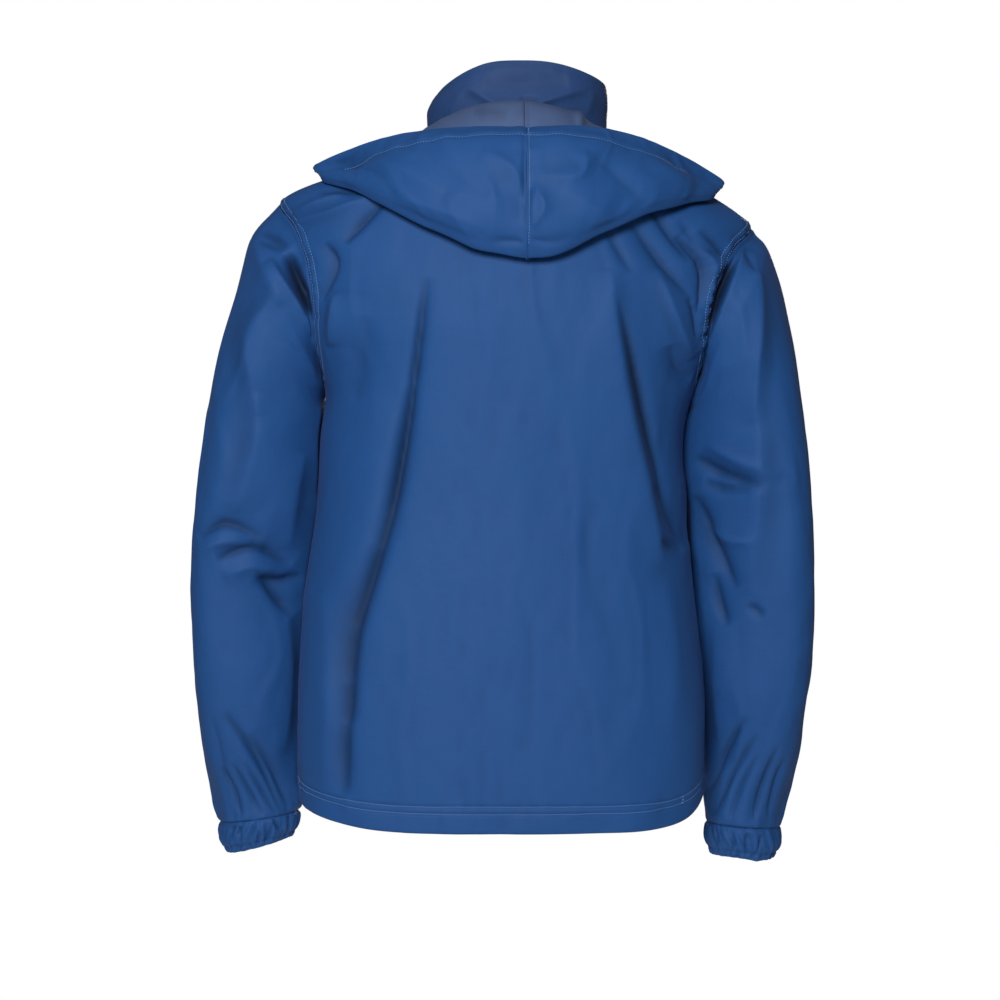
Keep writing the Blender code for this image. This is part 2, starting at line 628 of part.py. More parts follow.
back = panel_points(seamed(1, -1, BACK_COLUMNS), back_turn)
zip_to_side = seamed(0, 1, FRONT_COLUMNS)
front_left = panel_points(zip_to_side, lambda share, up: front_turn(share, up, 1))
front_right = panel_points(zip_to_side, lambda share, up: front_turn(share, up, -1))
body_tree = search_tree(((back, False), (front_left, False), (front_right, True)))
cloth("back", back, CLOTH)
cloth("front_left", front_left, CLOTH)
cloth("front_right", front_right, CLOTH, flip=True)
cloth("sleeve_left", sleeve_points(SLEEVE_LEFT, 1, SLEEVE_LEFT_FOLDS), CLOTH, closed=True, flip=True)
cloth("sleeve_right", sleeve_points(SLEEVE_RIGHT, -1, SLEEVE_RIGHT_FOLDS), CLOTH, closed=True)
cloth("cuff_left", cuff_points(SLEEVE_LEFT, 1), CUFF_CLOTH, closed=True, flip=True)
cloth("cuff_right", cuff_points(SLEEVE_RIGHT, -1), CUFF_CLOTH, closed=True)
cloth("collar", collar_points(), COLLAR_CLOTH)
cloth("hood_left", hood_points(HOOD_LEFT, 1), CLOTH)
cloth("hood_right", hood_points(HOOD_RIGHT, -1), CLOTH, flip=True)
zip_half("zip_left", 1)
zip_half("zip_right", -1)
zip_slider()
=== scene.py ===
"""A hooded parka of light woven nylon, zipped up and filled out with nobody in it, seen from behind.

Everything is in one frame: the origin is the middle of the neck opening, +Z is up, the front faces
-Y and the wearer's left is +X. Tables are in millimetres. "left" and "right" are the wearer's.
"""

import contextlib
import functools
import math

import bpy
import numpy as np
from mathutils import Matrix, Vector
from mathutils.bvhtree import BVHTree
from mathutils.kdtree import KDTree


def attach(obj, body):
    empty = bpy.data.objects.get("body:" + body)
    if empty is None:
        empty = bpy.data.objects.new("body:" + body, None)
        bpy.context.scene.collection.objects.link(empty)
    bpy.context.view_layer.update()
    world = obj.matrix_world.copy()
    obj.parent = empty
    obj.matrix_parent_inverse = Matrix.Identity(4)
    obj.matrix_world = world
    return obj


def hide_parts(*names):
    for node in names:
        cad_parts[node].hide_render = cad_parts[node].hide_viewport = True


bl_info = {
    "name": "Hooded parka",
    "version": (1, 0, 0),
    "blender": (4, 5, 0),
    "location": "3D View > Sidebar > Parka",
    "description": "Makes a hooded nylon parka, one button for each group of its pieces",
    "category": "Object",
}

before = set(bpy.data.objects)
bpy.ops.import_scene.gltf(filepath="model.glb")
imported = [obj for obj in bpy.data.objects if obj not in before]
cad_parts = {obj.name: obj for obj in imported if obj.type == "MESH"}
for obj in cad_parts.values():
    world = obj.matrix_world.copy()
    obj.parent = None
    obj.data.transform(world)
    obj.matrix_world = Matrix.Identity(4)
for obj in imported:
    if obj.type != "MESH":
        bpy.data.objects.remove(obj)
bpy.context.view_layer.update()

MM = 0.001

# Lengths up the body and across the zip, in millimetres. Stitches are given by how far they are
# from the edge or seam that they run beside.
BACK_LENGTH = 712.0
UNDERARM_UP = 438.0
SHOULDER_UP = 614.0
ZIP_WIDTH = 13.0
HEM = 26.0
HEM_ROWS = (19.0, 26.0)
ARMHOLE_STITCHES = (2.6, 9.8)
RIM_HEM = 19.0
SEAM_STITCHES = 2.6
RIM_HANGS = 18.0
SLEEVE_CLEAR = 2.5
HOOD_CLEAR = 2.2

# The zip's tape from its middle outwards: how far across and how far out of the fronts it is.
ZIP_PROFILE = (
    (0.15, 0.1), (0.5, 0.3), (1.6, 0.3), (2.7, 0.0), (3.6, -0.1),
    (5.4, -0.1), (6.6, -0.4), (8.2, -1.1), (9.2, -1.3), (10.6, -1.5),
)
TAPE_THICK = 0.5
TOOTH = (1.4, 3.0, 1.6)

# Where round the neck the hood's ends lie flat, and how long a degree is round the chest.
LYING_FROM = 112.0
DEGREE_ROUND = 2.6
ZIP_MIDDLE = ("middle_x", "front_y", "front_z")

# How far the armhole reaches round the chest from the side, in degrees.
ARMHOLE_BACK = 20.0
ARMHOLE_FRONT = 25.0
ARMHOLE_ENDS = 0.7
ARMHOLE_MIDDLE = (UNDERARM_UP + SHOULDER_UP) / 2
ARMHOLE_HALF = (SHOULDER_UP - UNDERARM_UP) / 2
ARMHOLE_PLACES = 480

# How finely the cloth is divided, which of the hood's rows are past its fold and short of its rim,
# and how many turn in at the rim.
BODY_ROWS = (22, 94, 102, 40)
BACK_COLUMNS = (10, 160)
FRONT_COLUMNS = (8, 60)
SLEEVE_COLUMNS = 188
SLEEVE_ROWS = 190
CUFF_COLUMNS = 240
HOOD_COLUMNS = 112
HOOD_ROWS = (8, 20, 16, 8, 8, 36, 16, 16)
HOOD_SEAM_SHOWS = slice(62, -8)
RIM_TURNED = 5
COLLAR_COLUMNS = 200
COARSE = 6

# How strongly the creases move the cloth, how much painted shade darkens its colour in its hollows and creases,
# and the darkest that painted shade goes.
CREASE_GAIN = 1.75
HOLLOW_SHADE = 0.42
DARKEST_SHADE = 0.82

# The lamps: where, how wide, and their share of the key light's power. Then what the camera looks at,
# and the floor, which only gives back light from below.
LAMPS = (
    ("key", (0.42, 2.7, 0.62), 0.9, 1.0),
    ("top_fill", (0.0, 0.9, 2.4), 1.8, 0.07),
    ("front_fill", (-0.35, -2.7, 0.25), 1.2, 0.62),
)
VIEW_MIDDLE = (0.019, 0.0, -0.345)
FLOOR_RADIUS, FLOOR_UP = 2.3, -1.45

BODY_TABLE = (
    "up", "back_y", "back_z", "left_x", "left_z", "right_x", "right_z", "front_y", "front_z",
    "middle_x", "square", "left_bend", "right_bend",
)
BODY = (
    (0, 118, -663, 219, -640, -183, -628, -122, -650, 18, 2.75, 8, 18),
    (45, 120, -618, 220, -602, -184, -594, -124, -606, 18, 2.75, 8, 18),
    (118, 121, -545, 219, -538, -183, -536, -126, -540, 18, 2.65, 6, 6),
    (218, 121, -445, 213, -442, -174, -442, -128, -442, 17, 2.5, 3, 3),
    (318, 121, -345, 200, -345, -166, -345, -130, -345, 15, 2.45, 2, 2),
    (378, 124, -285, 197, -286, -162, -286, -132, -286, 13, 2.4, 2, 2),
    (438, 128, -225, 193, -226, -175, -232, -131, -232, 10, 2.35, 2, 2),
    (488, 131, -175, 216, -180, -198, -188, -127, -186, 8, 2.3, 2, 2),
    (540, 129, -124, 233, -128, -218, -143, -120, -146, 6, 2.25, 2, 2),
    (580, 122, -84, 239, -82, -230, -102, -110, -116, 4.5, 2.15, 2, 2),
    (614, 113, -51, 238, -49, -231, -73, -101, -96, 3, 2.1, 2, 2),
    (650, 98, -17, 192, -27, -190, -43, -88, -76, 2, 2.05, 2, 2),
    (682, 83, 11, 134, -8, -132, -16, -79, -62, 1, 2.0, 2, 2),
    (712, 66, 37, 84, 2, -82, 0, -73, -50, 1, 2.0, 2, 2),
)
COLLAR_TABLE = ("rise",) + BODY_TABLE[1:]
COLLAR = (
    (0, 66, 37, 84, 2, -82, 0, -73, -50, 1, 2.0, 2.0, 2.0),
    (7, 66.5, 44, 88, 10, -86, 8, -75, -44, 1, 2.0, 2.0, 2.0),
    (30, 67, 62, 92, 38, -89, 40, -79, -22, 1, 2.1, 2.4, 2.4),
    (54, 60, 83, 84, 55, -87, 66, -74, 6, 1, 2.3, 3.4, 3.4),
)
SLEEVE_TABLE = ("down", "x", "y", "z", "half_out", "half_in", "half_back", "skew", "tilt")
SLEEVE_LEFT = (
    (60, 231, -1, -158, 81.0, 85, 69, 0.00, 63.8),
    (120, 242, -3, -195, 64.5, 72, 69, 0.05, 48.7),
    (185, 252, -6, -243.5, 55.0, 68, 67, 0.15, 18.7),
    (265, 260.5, -12, -310, 54.0, 72, 65, 0.28, 4.8),
    (335, 269, -19, -376.5, 52.5, 72, 63, 0.34, 1.5),
    (405, 275.5, -26, -445, 49.0, 70, 61, 0.36, 0.0),
    (493, 275, -33, -533, 47.0, 62, 57, 0.30, -2.0),
    (562, 271.5, -38, -601.5, 45.5, 52, 50, 0.16, -4.0),
    (629, 263, -42, -666, 41.5, 40, 40, 0.00, -8.0),
    (657, 263, -43, -694, 38.5, 38, 38, 0.00, -14.0),
)
SLEEVE_RIGHT = (
    (60, -212.5, -1, -166, 77.0, 84, 70, 0.00, 62.3),
    (120, -222, -3, -200, 61.0, 73, 71, 0.05, 45.6),
    (185, -232, -7, -243.5, 47.5, 74, 71, 0.16, 21.9),
    (265, -238.5, -13, -310, 45.5, 78, 70, 0.28, 5.7),
    (335, -241.5, -19, -376.5, 46.0, 76, 68, 0.34, 1.7),
    (405, -241.5, -26, -445, 46.5, 72, 64, 0.36, 0.0),
    (493, -241, -33, -524, 47.0, 62, 60, 0.28, -1.0),
    (562, -238.5, -38, -588, 46.5, 52, 52, 0.14, -2.5),
    (643, -227, -42, -674, 39.5, 37, 40, 0.00, -4.0),
    (672, -226, -43, -705, 37.5, 36, 38, 0.00, -6.0),
)
HOOD_TABLE = (
    "round", "fold_x", "fold_y", "fold_z", "edge_x", "edge_y", "edge_z", "bulge", "roll", "lean", "stand",
)
HOOD_LEFT = (
    (-4, -6, 150, -119, -6, 133, 7, 11, 8, 64, 3),
    (22, 42, 149, -109, 40, 131, 8, 12, 8, 60, 5),
    (45, 84, 139, -90, 87, 120, 7, 11, 7, 45, 12),
    (65, 131, 119, -65, 130, 99, 3, 8, 5.5, 25, 16),
    (82, 166, 90, -46, 168, 69, -5, 5, 4, 12, 17),
    (100, 196, 45, -30, 202, 31, -15, 2, 3.5, 6, 8),
    (114, 152, -10, -9, 161, -16, 2, 1, 3.5, 6, 0),
    (126, 104, -37, -7, 113, -40, 1, 0, 3.5, 6, 0),
)
HOOD_RIGHT = (
    (4, -6, 150, -119, -6, 133, 7, 11, 8, 64, 3),
    (26, -39, 149, -113, -50, 131, 9, 12, 8, 60, 4),
    (47, -78, 140, -94, -90, 119, 7, 11, 7, 45, 7),
    (66, -125, 122, -72, -130, 98, -1, 8, 5.5, 25, 12),
    (82, -164, 91, -59, -165, 68, -13, 5, 4, 12, 12),
    (100, -193, 45, -47, -201, 31, -30, 2, 3.5, 6, 6),
    (114, -152, -10, -20, -161, -16, -10, 1, 3.5, 6, 0),
    (126, -104, -37, -11, -113, -40, -4, 0, 3.5, 6, 0),
)

# Creases. Each runs along a bent line through three points seen square on, from its upper or +X end.
# The width on the side to its +X or below it comes first, then the other side's width, then how far
# it stands out, or in where negative, and how round it is: 1 comes to an edge and 2 is round.
BACK_CREASES = (
    (89, -134, 103, -235, 126, -358, 4, 6, -5, 1.3),
    (103, -240, 125, -360, 160, -468, 9, 8, -6.5, 1.5),
    (138, -392, 160, -480, 164, -560, 22, 7, -7, 1.8),
    (164, -520, 168, -580, 168, -632, 14, 6, -5, 1.6),
    (128, -58, 151, -80, 168, -99, 9, 3.5, -5, 1.15),
    (188, -96, 178, -118, 191, -154, 9, 3.5, -5, 1.3),
    (178, -146, 180, -170, 183, -196, 6, 16, 4.5, 1.15),
    (226, -69, 200, -59, 170, -49, 4, 4, 3, 1.2),
    (222, -76, 184, -68, 145, -54, 5, 4.5, 3.2, 1.2),
    (196, -47, 172, -45, 148, -52, 5, 5, -3.5, 1.3),
    (148, -170, 152, -205, 158, -250, 14, 14, -2.2, 1.7),
    (-124, -62, -144, -90, -166, -116, 4, 9, -4, 1.1),
    (-104, -76, -136, -118, -168, -155, 8, 7, -4.5, 1.2),
    (-152, -90, -177, -122, -171, -166, 4, 4.5, -5.5, 1.15),
    (-160, -88, -187, -118, -179, -164, 5, 9, 3.5, 1.2),
    (-154, -74, -174, -101, -200, -108, 5, 7, -2.6, 1.2),
    (-174, -84, -190, -98, -206, -116, 4, 5, -2.6, 1.2),
    (-82, -88, -94, -108, -107, -130, 5, 7, -2.2, 1.3),
    (-85, -126, -105, -262, -139, -408, 34, 9, 6.5, 1.2),
    (-90, -146, -119, -262, -141, -350, 8, 5, -4.5, 1.3),
    (-132, -326, -150, -368, -162, -392, 9, 12, -4, 1.4),
    (-133, -122, -149, -172, -168, -208, 8, 20, 4.5, 1.15),
    (-144, -196, -155, -219, -168, -226, 10, 7, -3.5, 1.3),
    (-162, -150, -168, -168, -169, -188, 4, 4, -3.5, 1.2),
    (-134, -384, -147, -388, -160, -393, 5, 4, -3.5, 1.2),
    (-140, -420, -150, -490, -146, -570, 16, 12, 1.8, 1.6),
    (-60, -330, -72, -420, -96, -520, 18, 22, -1.4, 1.7),
    (10, -250, 4, -380, 14, -520, 28, 24, 1.2, 1.7),
    (190, -430, 184, -530, 188, -612, 12, 14, 2.5, 1.5),
)
FRONT_CREASES = (
    (104, -150, 88, -300, 128, -500, 12, 22, -6, 1.3),
    (64, -190, 54, -330, 80, -560, 22, 12, 4, 1.4),
    (-92, -160, -86, -300, -122, -480, 22, 12, -6, 1.3),
    (-50, -200, -44, -340, -68, -560, 12, 20, 4, 1.4),
    (150, -120, 172, -165, 150, -215, 8, 12, -4, 1.2),
    (-146, -118, -168, -155, -150, -205, 12, 8, -5, 1.2),
    (206, -96, 168, -92, 120, -98, 7, 9, 3, 1.2),
    (-120, -104, -160, -106, -196, -118, 7, 9, 3, 1.2),
    (196, -120, 150, -130, 110, -150, 8, 10, 2.5, 1.2),
    (-110, -150, -150, -136, -186, -140, 8, 10, 2.5, 1.2),
    (176, -230, 150, -300, 160, -420, 12, 18, 3, 1.4),
    (-140, -240, -132, -330, -150, -440, 16, 12, 3, 1.4),
    (30, -420, 36, -520, 28, -620, 14, 20, -2, 1.6),
    (-24, -300, -18, -420, -30, -560, 18, 14, 2, 1.6),
)
LEFT_SLEEVE_BACK = (
    (227, -104, 215, -135, 199, -170, 4.5, 5.5, -12, 2.2),
    (242, -113, 228, -134, 194, -184, 18, 3.5, 5, 1.1),
    (262, -84, 248, -116, 230, -156, 12, 16, 3.5, 1.3),
    (254, -79, 240, -88, 226, -99, 4, 6, -3.5, 1.15),
    (256, -90, 242, -96, 229, -103, 4, 4, -2.5, 1.2),
    (230, -142, 264, -188, 254, -262, 12, 34, 5, 1.4),
    (256, -240, 258, -292, 278, -356, 12, 34, 4.5, 1.4),
    (318, -382, 288, -369, 252, -382, 5, 10, -5, 1.15),
    (322, -398, 288, -386, 250, -394, 6, 7, 3, 1.2),
    (298, -404, 262, -392, 226, -410, 5, 9, -5.5, 1.15),
    (290, -420, 262, -410, 230, -420, 7, 6, 3, 1.2),
    (262, -419, 240, -424, 216, -420, 9, 4, -4, 1.3),
    (256, -420, 243, -440, 228, -460, 4, 9, -5, 1.2),
    (214, -296, 224, -345, 229, -394, 30, 7, 3.5, 1.3),
    (232, -448, 231, -520, 236, -600, 30, 7, 4, 1.25),
    (292, -556, 259, -606, 237, -658, 4.5, 4.5, -4.5, 1.1),
    (268, -578, 246, -614, 230, -654, 5, 8, -4.5, 1.25),
    (288, -606, 272, -634, 256, -662, 4, 4.5, -3.2, 1.15),
    (299, -612, 286, -638, 278, -664, 4, 4.5, -3.6, 1.15),
    (274, -606, 258, -634, 242, -660, 4, 4, -3, 1.15),
    (306, -560, 298, -600, 292, -650, 6, 6, -2.4, 1.3),
    (300, -250, 290, -310, 304, -372, 14, 10, 1.5, 1.7),
)
LEFT_SLEEVE_FRONT = (
    (240, -96, 222, -136, 200, -176, 9, 8, -7, 1.3),
    (256, -110, 228, -152, 196, -190, 9, 8, 5, 1.2),
    (310, -376, 280, -368, 236, -384, 7, 9, -5, 1.2),
    (300, -402, 262, -396, 222, -408, 6, 8, -5, 1.2),
    (316, -430, 280, -416, 240, -420, 7, 8, 3, 1.3),
    (270, -300, 246, -320, 220, -350, 10, 8, 3, 1.4),
    (300, -560, 268, -610, 246, -664, 9, 8, -4, 1.3),
    (310, -600, 292, -640, 280, -668, 7, 7, 3, 1.3),
    (240, -580, 238, -630, 244, -666, 6, 8, -3, 1.3),
    (262, -180, 252, -240, 258, -300, 16, 12, 3, 1.6),
)
RIGHT_SLEEVE_BACK = (
    (-207, -108, -190, -152, -169, -214, 6, 5.5, -13, 2.2),
    (-221, -96, -205, -134, -173, -206, 3.5, 20, 5, 1.1),
    (-229, -100, -233, -178, -229, -270, 26, 9, 5.5, 1.1),
    (-230, -230, -236, -330, -226, -440, 24, 12, 3.5, 1.3),
    (-219, -98, -224, -112, -230, -126, 4, 7, -3, 1.2),
    (-174, -302, -196, -318, -242, -332, 5, 9, -5.5, 1.15),
    (-184, -290, -214, -306, -256, -322, 7, 6, 3, 1.2),
    (-182, -328, -202, -334, -228, -336, 5, 6, -4, 1.2),
    (-174, -340, -191, -384, -216, -434, 8, 6, -6, 1.2),
    (-184, -372, -206, -384, -232, -386, 7, 6, 3, 1.2),
    (-194, -418, -198, -446, -208, -470, 5, 6, -4.5, 1.2),
    (-226, -448, -233, -453, -242, -460, 4, 4, -2.5, 1.3),
    (-196, -470, -199, -540, -203, -600, 7, 26, 3.5, 1.3),
    (-186, -650, -204, -602, -226, -560, 5, 5, -4.5, 1.15),
    (-196, -662, -212, -622, -236, -578, 5, 5, -4, 1.15),
    (-212, -664, -222, -630, -238, -598, 4, 5, -3, 1.15),
    (-234, -666, -243, -630, -258, -588, 4.5, 5, -4, 1.15),
    (-250, -662, -256, -630, -266, -600, 4, 5, -3, 1.2),
    (-258, -300, -266, -380, -262, -450, 14, 12, 1.5, 1.7),
)
RIGHT_SLEEVE_FRONT = (
    (-216, -116, -198, -156, -176, -214, 9, 9, -7, 1.3),
    (-236, -110, -212, -156, -186, -216, 9, 9, 5, 1.2),
    (-180, -312, -214, -322, -252, -342, 7, 8, -5, 1.2),
    (-182, -346, -210, -352, -240, -366, 7, 8, -4, 1.2),
    (-184, -330, -206, -336, -236, -350, 6, 7, 3, 1.2),
    (-190, -400, -214, -420, -236, -452, 8, 8, 3, 1.3),
    (-196, -636, -216, -596, -238, -560, 8, 8, -4, 1.3),
    (-240, -660, -252, -620, -262, -590, 7, 7, -3, 1.3),
    (-230, -180, -238, -240, -232, -300, 14, 14, 3, 1.6),
)
CUFF_CREASES = {
    1: (
        (286, -668, 288, -679, 289, -690, 2.6, 3.6, -2.6, 1.2),
        (282, -669, 280, -681, 279, -694, 1.6, 1.6, -2.2, 1.15),
        (260, -674, 261, -683, 263, -692, 1.6, 2.2, -2.2, 1.15),
        (247, -669, 250, -679, 254, -688, 1.7, 2.4, -2.4, 1.15),
        (247, -664, 243, -671, 238, -676, 1.6, 2.2, -1.8, 1.2),
    ),
    -1: (
        (-197, -673, -199, -684, -198, -696, 1.8, 2.6, -2.4, 1.2),
        (-213, -676, -216, -688, -214, -700, 1.6, 1.8, -2.0, 1.15),
        (-229, -678, -227, -690, -230, -702, 2.4, 3.4, -2.6, 1.2),
        (-243, -680, -241, -691, -238, -703, 1.6, 2.0, -2.2, 1.15),
    ),
}
HOOD_LEFT_CREASES = (
    (36, -17, 7, -34, -3, -60, 9, 7, 2.5, 1.1),
    (38, -106, 17, -104, -8, -103, 4, 5, -2.5, 1.2),
    (96, -2, 70, -34, 30, -62, 16, 20, -2.5, 1.5),
    (150, -8, 116, -30, 70, -56, 12, 16, 2.5, 1.4),
    (120, -58, 78, -72, 34, -92, 10, 8, 2, 1.4),
    (182, -14, 158, -22, 128, -40, 8, 8, -2, 1.4),
)
HOOD_RIGHT_CREASES = (
    (-64, -17, -56, -40, -14, -41, 8, 7, 3, 1.15),
    (-12, -50, -23, -70, -12, -90, 8, 6, 2.5, 1.2),
    (-70, -20, -100, -48, -120, -66, 14, 12, -2.5, 1.5),
    (-40, -50, -70, -72, -92, -88, 12, 16, 2, 1.5),
    (-110, -10, -140, -30, -170, -44, 10, 12, 2.5, 1.4),
    (-8, -100, -30, -104, -50, -100, 5, 5, -2, 1.3),
)
HOOD_INNER_CREASES = (
    (-46, 36, -57, 27, -58, 12, 3, 6, 3, 1.5),
    (44, 30, 30, 26, 12, 22, 4, 6, 1.5, 1.5),
)
COLLAR_CREASES = (
    (56, 60, 6, 37, -68, 58, 3, 4, 2.4, 1.3),
    (34, 62, -6, 60, -48, 64, 12, 14, -4.0, 2.0),
    (0, 45, -9, 44, -18, 45, 4, 3, -1.5, 2.0),
    (70, 30, 62, 44, 52, 60, 5, 6, 1.2, 1.5),
    (-66, 30, -70, 44, -72, 58, 5, 6, 1.2, 1.5),
)


# Curves and forms


def through(knots, values, at):
    """A smooth curve through the values at the knots, read at the places given."""
    at = np.clip(np.asarray(at, float), knots[0], knots[-1])
    step = np.diff(knots)
    slope = (np.diff(values, axis=0).T / step).T
    weight = step[1:] / (step[1:] + step[:-1])
    inner = (slope[:-1].T * weight + slope[1:].T * (1 - weight)).T
    tangent = np.concatenate([slope[:1], inner, slope[-1:]])
    i = np.clip(np.searchsorted(knots, at, side="right") - 1, 0, len(step) - 1)
    t, run = (at - knots[i]) / step[i], step[i]
    if values.ndim > 1:
        t, run = t[..., None], run[..., None]
    start = values[i] * (1 + 2 * t) * (1 - t) ** 2 + tangent[i] * run * t * (1 - t) ** 2
    return start + values[i + 1] * t**2 * (3 - 2 * t) + tangent[i + 1] * run * t**2 * (t - 1)


def reader(columns, rows):
    """A function that reads any column of a table at any place along its first column."""
    values = dict(zip(columns, np.array(rows, float).T))
    return lambda name, at: through(values[columns[0]], values[name], at)


body_at = reader(BODY_TABLE, BODY)
collar_at = reader(COLLAR_TABLE, COLLAR)


def ring(read, turn, level):
    """A point on a level's outline; turn is 0 at the middle of the back and 90 degrees left."""
    at_left, at_back = np.sin(turn) >= 0, np.cos(turn) >= 0
    across, along = np.abs(np.sin(turn)), np.abs(np.cos(turn))

    def either(here, name, other):
        return np.where(here, read(name, level), read(other, level))

    middle, square = read("middle_x", level), read("square", level)
    half = np.abs(either(at_left, "left_x", "right_x") - middle)
    depth = np.abs(either(at_back, "back_y", "front_y"))
    reach = ((across / half) ** square + (along / depth) ** square) ** (-1 / square)
    side_z, middle_z = either(at_left, "left_z", "right_z"), either(at_back, "back_z", "front_z")
    z = middle_z + (side_z - middle_z) * across ** either(at_left, "left_bend", "right_bend")
    return np.stack([middle + reach * np.sin(turn), reach * np.cos(turn), z], axis=-1)


def unit(vectors):
    """Vectors in the same direction, 1 long."""
    return vectors / np.maximum(np.linalg.norm(vectors, axis=-1, keepdims=True), 1e-9)


def ring_outward(read, turn, level):
    """The way straight out of a form at a place on it."""
    along_turn = ring(read, turn + 0.004, level) - ring(read, turn - 0.004, level)
    along_up = ring(read, turn, level + 1.0) - ring(read, turn, level - 1.0)
    return unit(np.cross(along_up, along_turn))


def soft(x):
    """0 to 1, leaving and arriving gently."""
    x = np.clip(x, 0, 1)
    return x * x * (3 - 2 * x)


def bell(x, width):
    """1 at 0, and fading to 0 on both sides."""
    return np.exp(-((x / width) ** 2))


def run_along(points, axis=0):
    """How far each point of a line is from its first, or of each of a grid's lines along an axis."""
    start = np.take(points, [0], axis=axis)
    return np.cumsum(np.linalg.norm(np.diff(points, axis=axis, prepend=start), axis=-1), axis=axis)


@functools.cache
def lattice(seed):
    """A table of random values for a seed."""
    return np.random.default_rng(seed).uniform(-1, 1, (96, 96))


def noise(x, y, seed, wrap=96):
    """Smooth unevenness from -1 to 1, one bump for each unit of x and y."""
    i, j = np.floor(x).astype(int), np.floor(y).astype(int)
    s, t = soft(x - i), soft(y - j)
    values = lattice(seed)
    i0, i1, j0, j1 = i % wrap, (i + 1) % wrap, j % 96, (j + 1) % 96
    low = values[i0, j0] * (1 - s) + values[i1, j0] * s
    high = values[i0, j1] * (1 - s) + values[i1, j1] * s
    return low * (1 - t) + high * t


def ridges(x, y, seed, wrap=96):
    """Thin uneven ridges, 1 on their crests and 0 between them."""
    finer = noise(2 * x, 2 * y, seed + 1, 2 * wrap if wrap < 48 else 96)
    return np.clip(1 - 3.0 * np.abs(noise(x, y, seed, wrap) + 0.35 * finer), 0, 1)


def beside_line(line, places):
    """How far places are from a bent line, on which side, and how near to its middle, from 0 to 1."""
    apart, signed, taper = (np.full(len(places), value) for value in (np.inf, 0.0, 0.0))
    steps = len(line) - 1
    for i in range(steps):
        run, off = line[i + 1] - line[i], places - line[i]
        t = np.clip(off @ run / (run @ run), 0, 1)
        gap = np.linalg.norm(off - t[:, None] * run, axis=1)
        nearer = gap < apart
        apart = np.where(nearer, gap, apart)
        signed = np.where(nearer, run[0] * off[:, 1] - run[1] * off[:, 0], signed)
        taper = np.where(nearer, np.sin(math.pi * (i + t) / steps) ** 0.7, taper)
    return apart, signed > 0, taper


def creases_at(points, table, shaded=False):
    """How far the creases move each point out, from where it is square on; when shaded, how much painted shade
    they put in the cloth's colour there instead.
    """
    flat = points[..., [0, 2]].reshape(-1, 2)
    moved = np.zeros(len(flat))
    for crease in table:
        width, other_width, depth, roundness = crease[6:]
        bends = np.array(crease[:6], float).reshape(3, 2)
        line = through(np.array([0.0, 0.5, 1.0]), bends, np.linspace(0, 1, 11))
        reach = 3.2 * max(width, other_width)
        near = ((flat > line.min(axis=0) - reach) & (flat < line.max(axis=0) + reach)).all(axis=1)
        apart, on_first_side, taper = beside_line(line, flat[near])
        wide = np.where(on_first_side, width, other_width)
        wide = np.where(wide > 10, 10 + (wide - 10) * taper**1.5, wide)
        if not shaded:
            moved[near] += CREASE_GAIN * depth * taper * np.exp(-((apart / wide) ** roundness))
            continue
        # Painted shade: the colour is darker along troughs and on the steep side of ridges, where shade falls.
        shade_strength, steep = (abs(depth) / 11) ** 1.5 * 0.7, min(width, other_width)
        if depth < 0:
            moved[near] += shade_strength * taper**1.4 * np.exp(-((apart / (0.85 * wide)) ** 1.8))
        elif steep < 0.7 * max(width, other_width):
            on_steep_side = on_first_side == (width == steep)
            beside = bell(apart - 0.9 * steep, 0.8 * steep)
            moved[near] += 0.9 * shade_strength * taper**1.4 * on_steep_side * beside
    return moved.reshape(points.shape[:-1])


def grid_normals(points, closed=False, flip=False):
    """The way out of a grid of points, as its faces turn."""
    rows = np.gradient(points, axis=0)
    if closed:
        columns = np.roll(points, -1, axis=1) - np.roll(points, 1, axis=1)
    else:
        columns = np.gradient(points, axis=1)
    return unit(np.cross(columns, rows)) * (-1 if flip else 1)


def hollows(points, normals, closed=False):
    """How hollow a grid is at each point: 0 where it is flat or stands out, and 1 deep in a fold."""
    total = np.zeros(points.shape[:2])
    for step, deep in ((1, 0.35), (3, 2.2)):
        rows = np.pad(points, ((step, step), (0, 0), (0, 0)), mode="edge")
        columns = np.pad(points, ((0, 0), (step, step), (0, 0)), mode="wrap" if closed else "edge")
        around = (rows[2 * step:] + rows[:-2 * step] + columns[:, 2 * step:] + columns[:, :-2 * step]) / 4
        total += 0.5 * np.clip(((around - points) * normals).sum(axis=-1) / deep, 0, 1)
    for axis in (0, 1):
        total = (np.roll(total, 1, axis) + 2 * total + np.roll(total, -1, axis)) / 4
    return total


def seam_places(points, line):
    """How far each point is from a seam, and how far along the seam its nearest place is."""
    tree = KDTree(len(line))
    for i, point in enumerate(line):
        tree.insert(point, i)
    tree.balance()
    found = [tree.find(point)[1:] for point in points.reshape(-1, 3)]
    apart = np.array([distance for _, distance in found]).reshape(points.shape[:-1])
    return apart, run_along(line)[[index for index, _ in found]].reshape(points.shape[:-1])


# The forms of the pieces, in millimetres


def full_turn(count):
    """Angles in even steps round a whole turn."""
    return np.linspace(0, 2 * math.pi, count + 1)[:-1]


def armhole_reach(up):
    """How deep the armhole is at a level: 0 at its two ends and 1 half way up."""
    from_middle = np.clip((np.asarray(up, float) - ARMHOLE_MIDDLE) / ARMHOLE_HALF, -1, 1)
    return (1 - from_middle**2) ** ARMHOLE_ENDS


def armhole(side, count):
    """The armhole's points, from the shoulder down the back and up the front, and the way off it."""
    angle = full_turn(count)
    up = ARMHOLE_MIDDLE + ARMHOLE_HALF * np.cos(angle)
    depth = np.where(np.sin(angle) >= 0, ARMHOLE_BACK, -ARMHOLE_FRONT) * armhole_reach(up)
    turn = side * np.radians(90 - depth)
    edge = ring(body_at, turn, up)
    inner = ring(body_at, turn - side * np.radians(np.sin(angle)), up + 4.0 * np.cos(angle))
    return edge, unit(edge - inner)


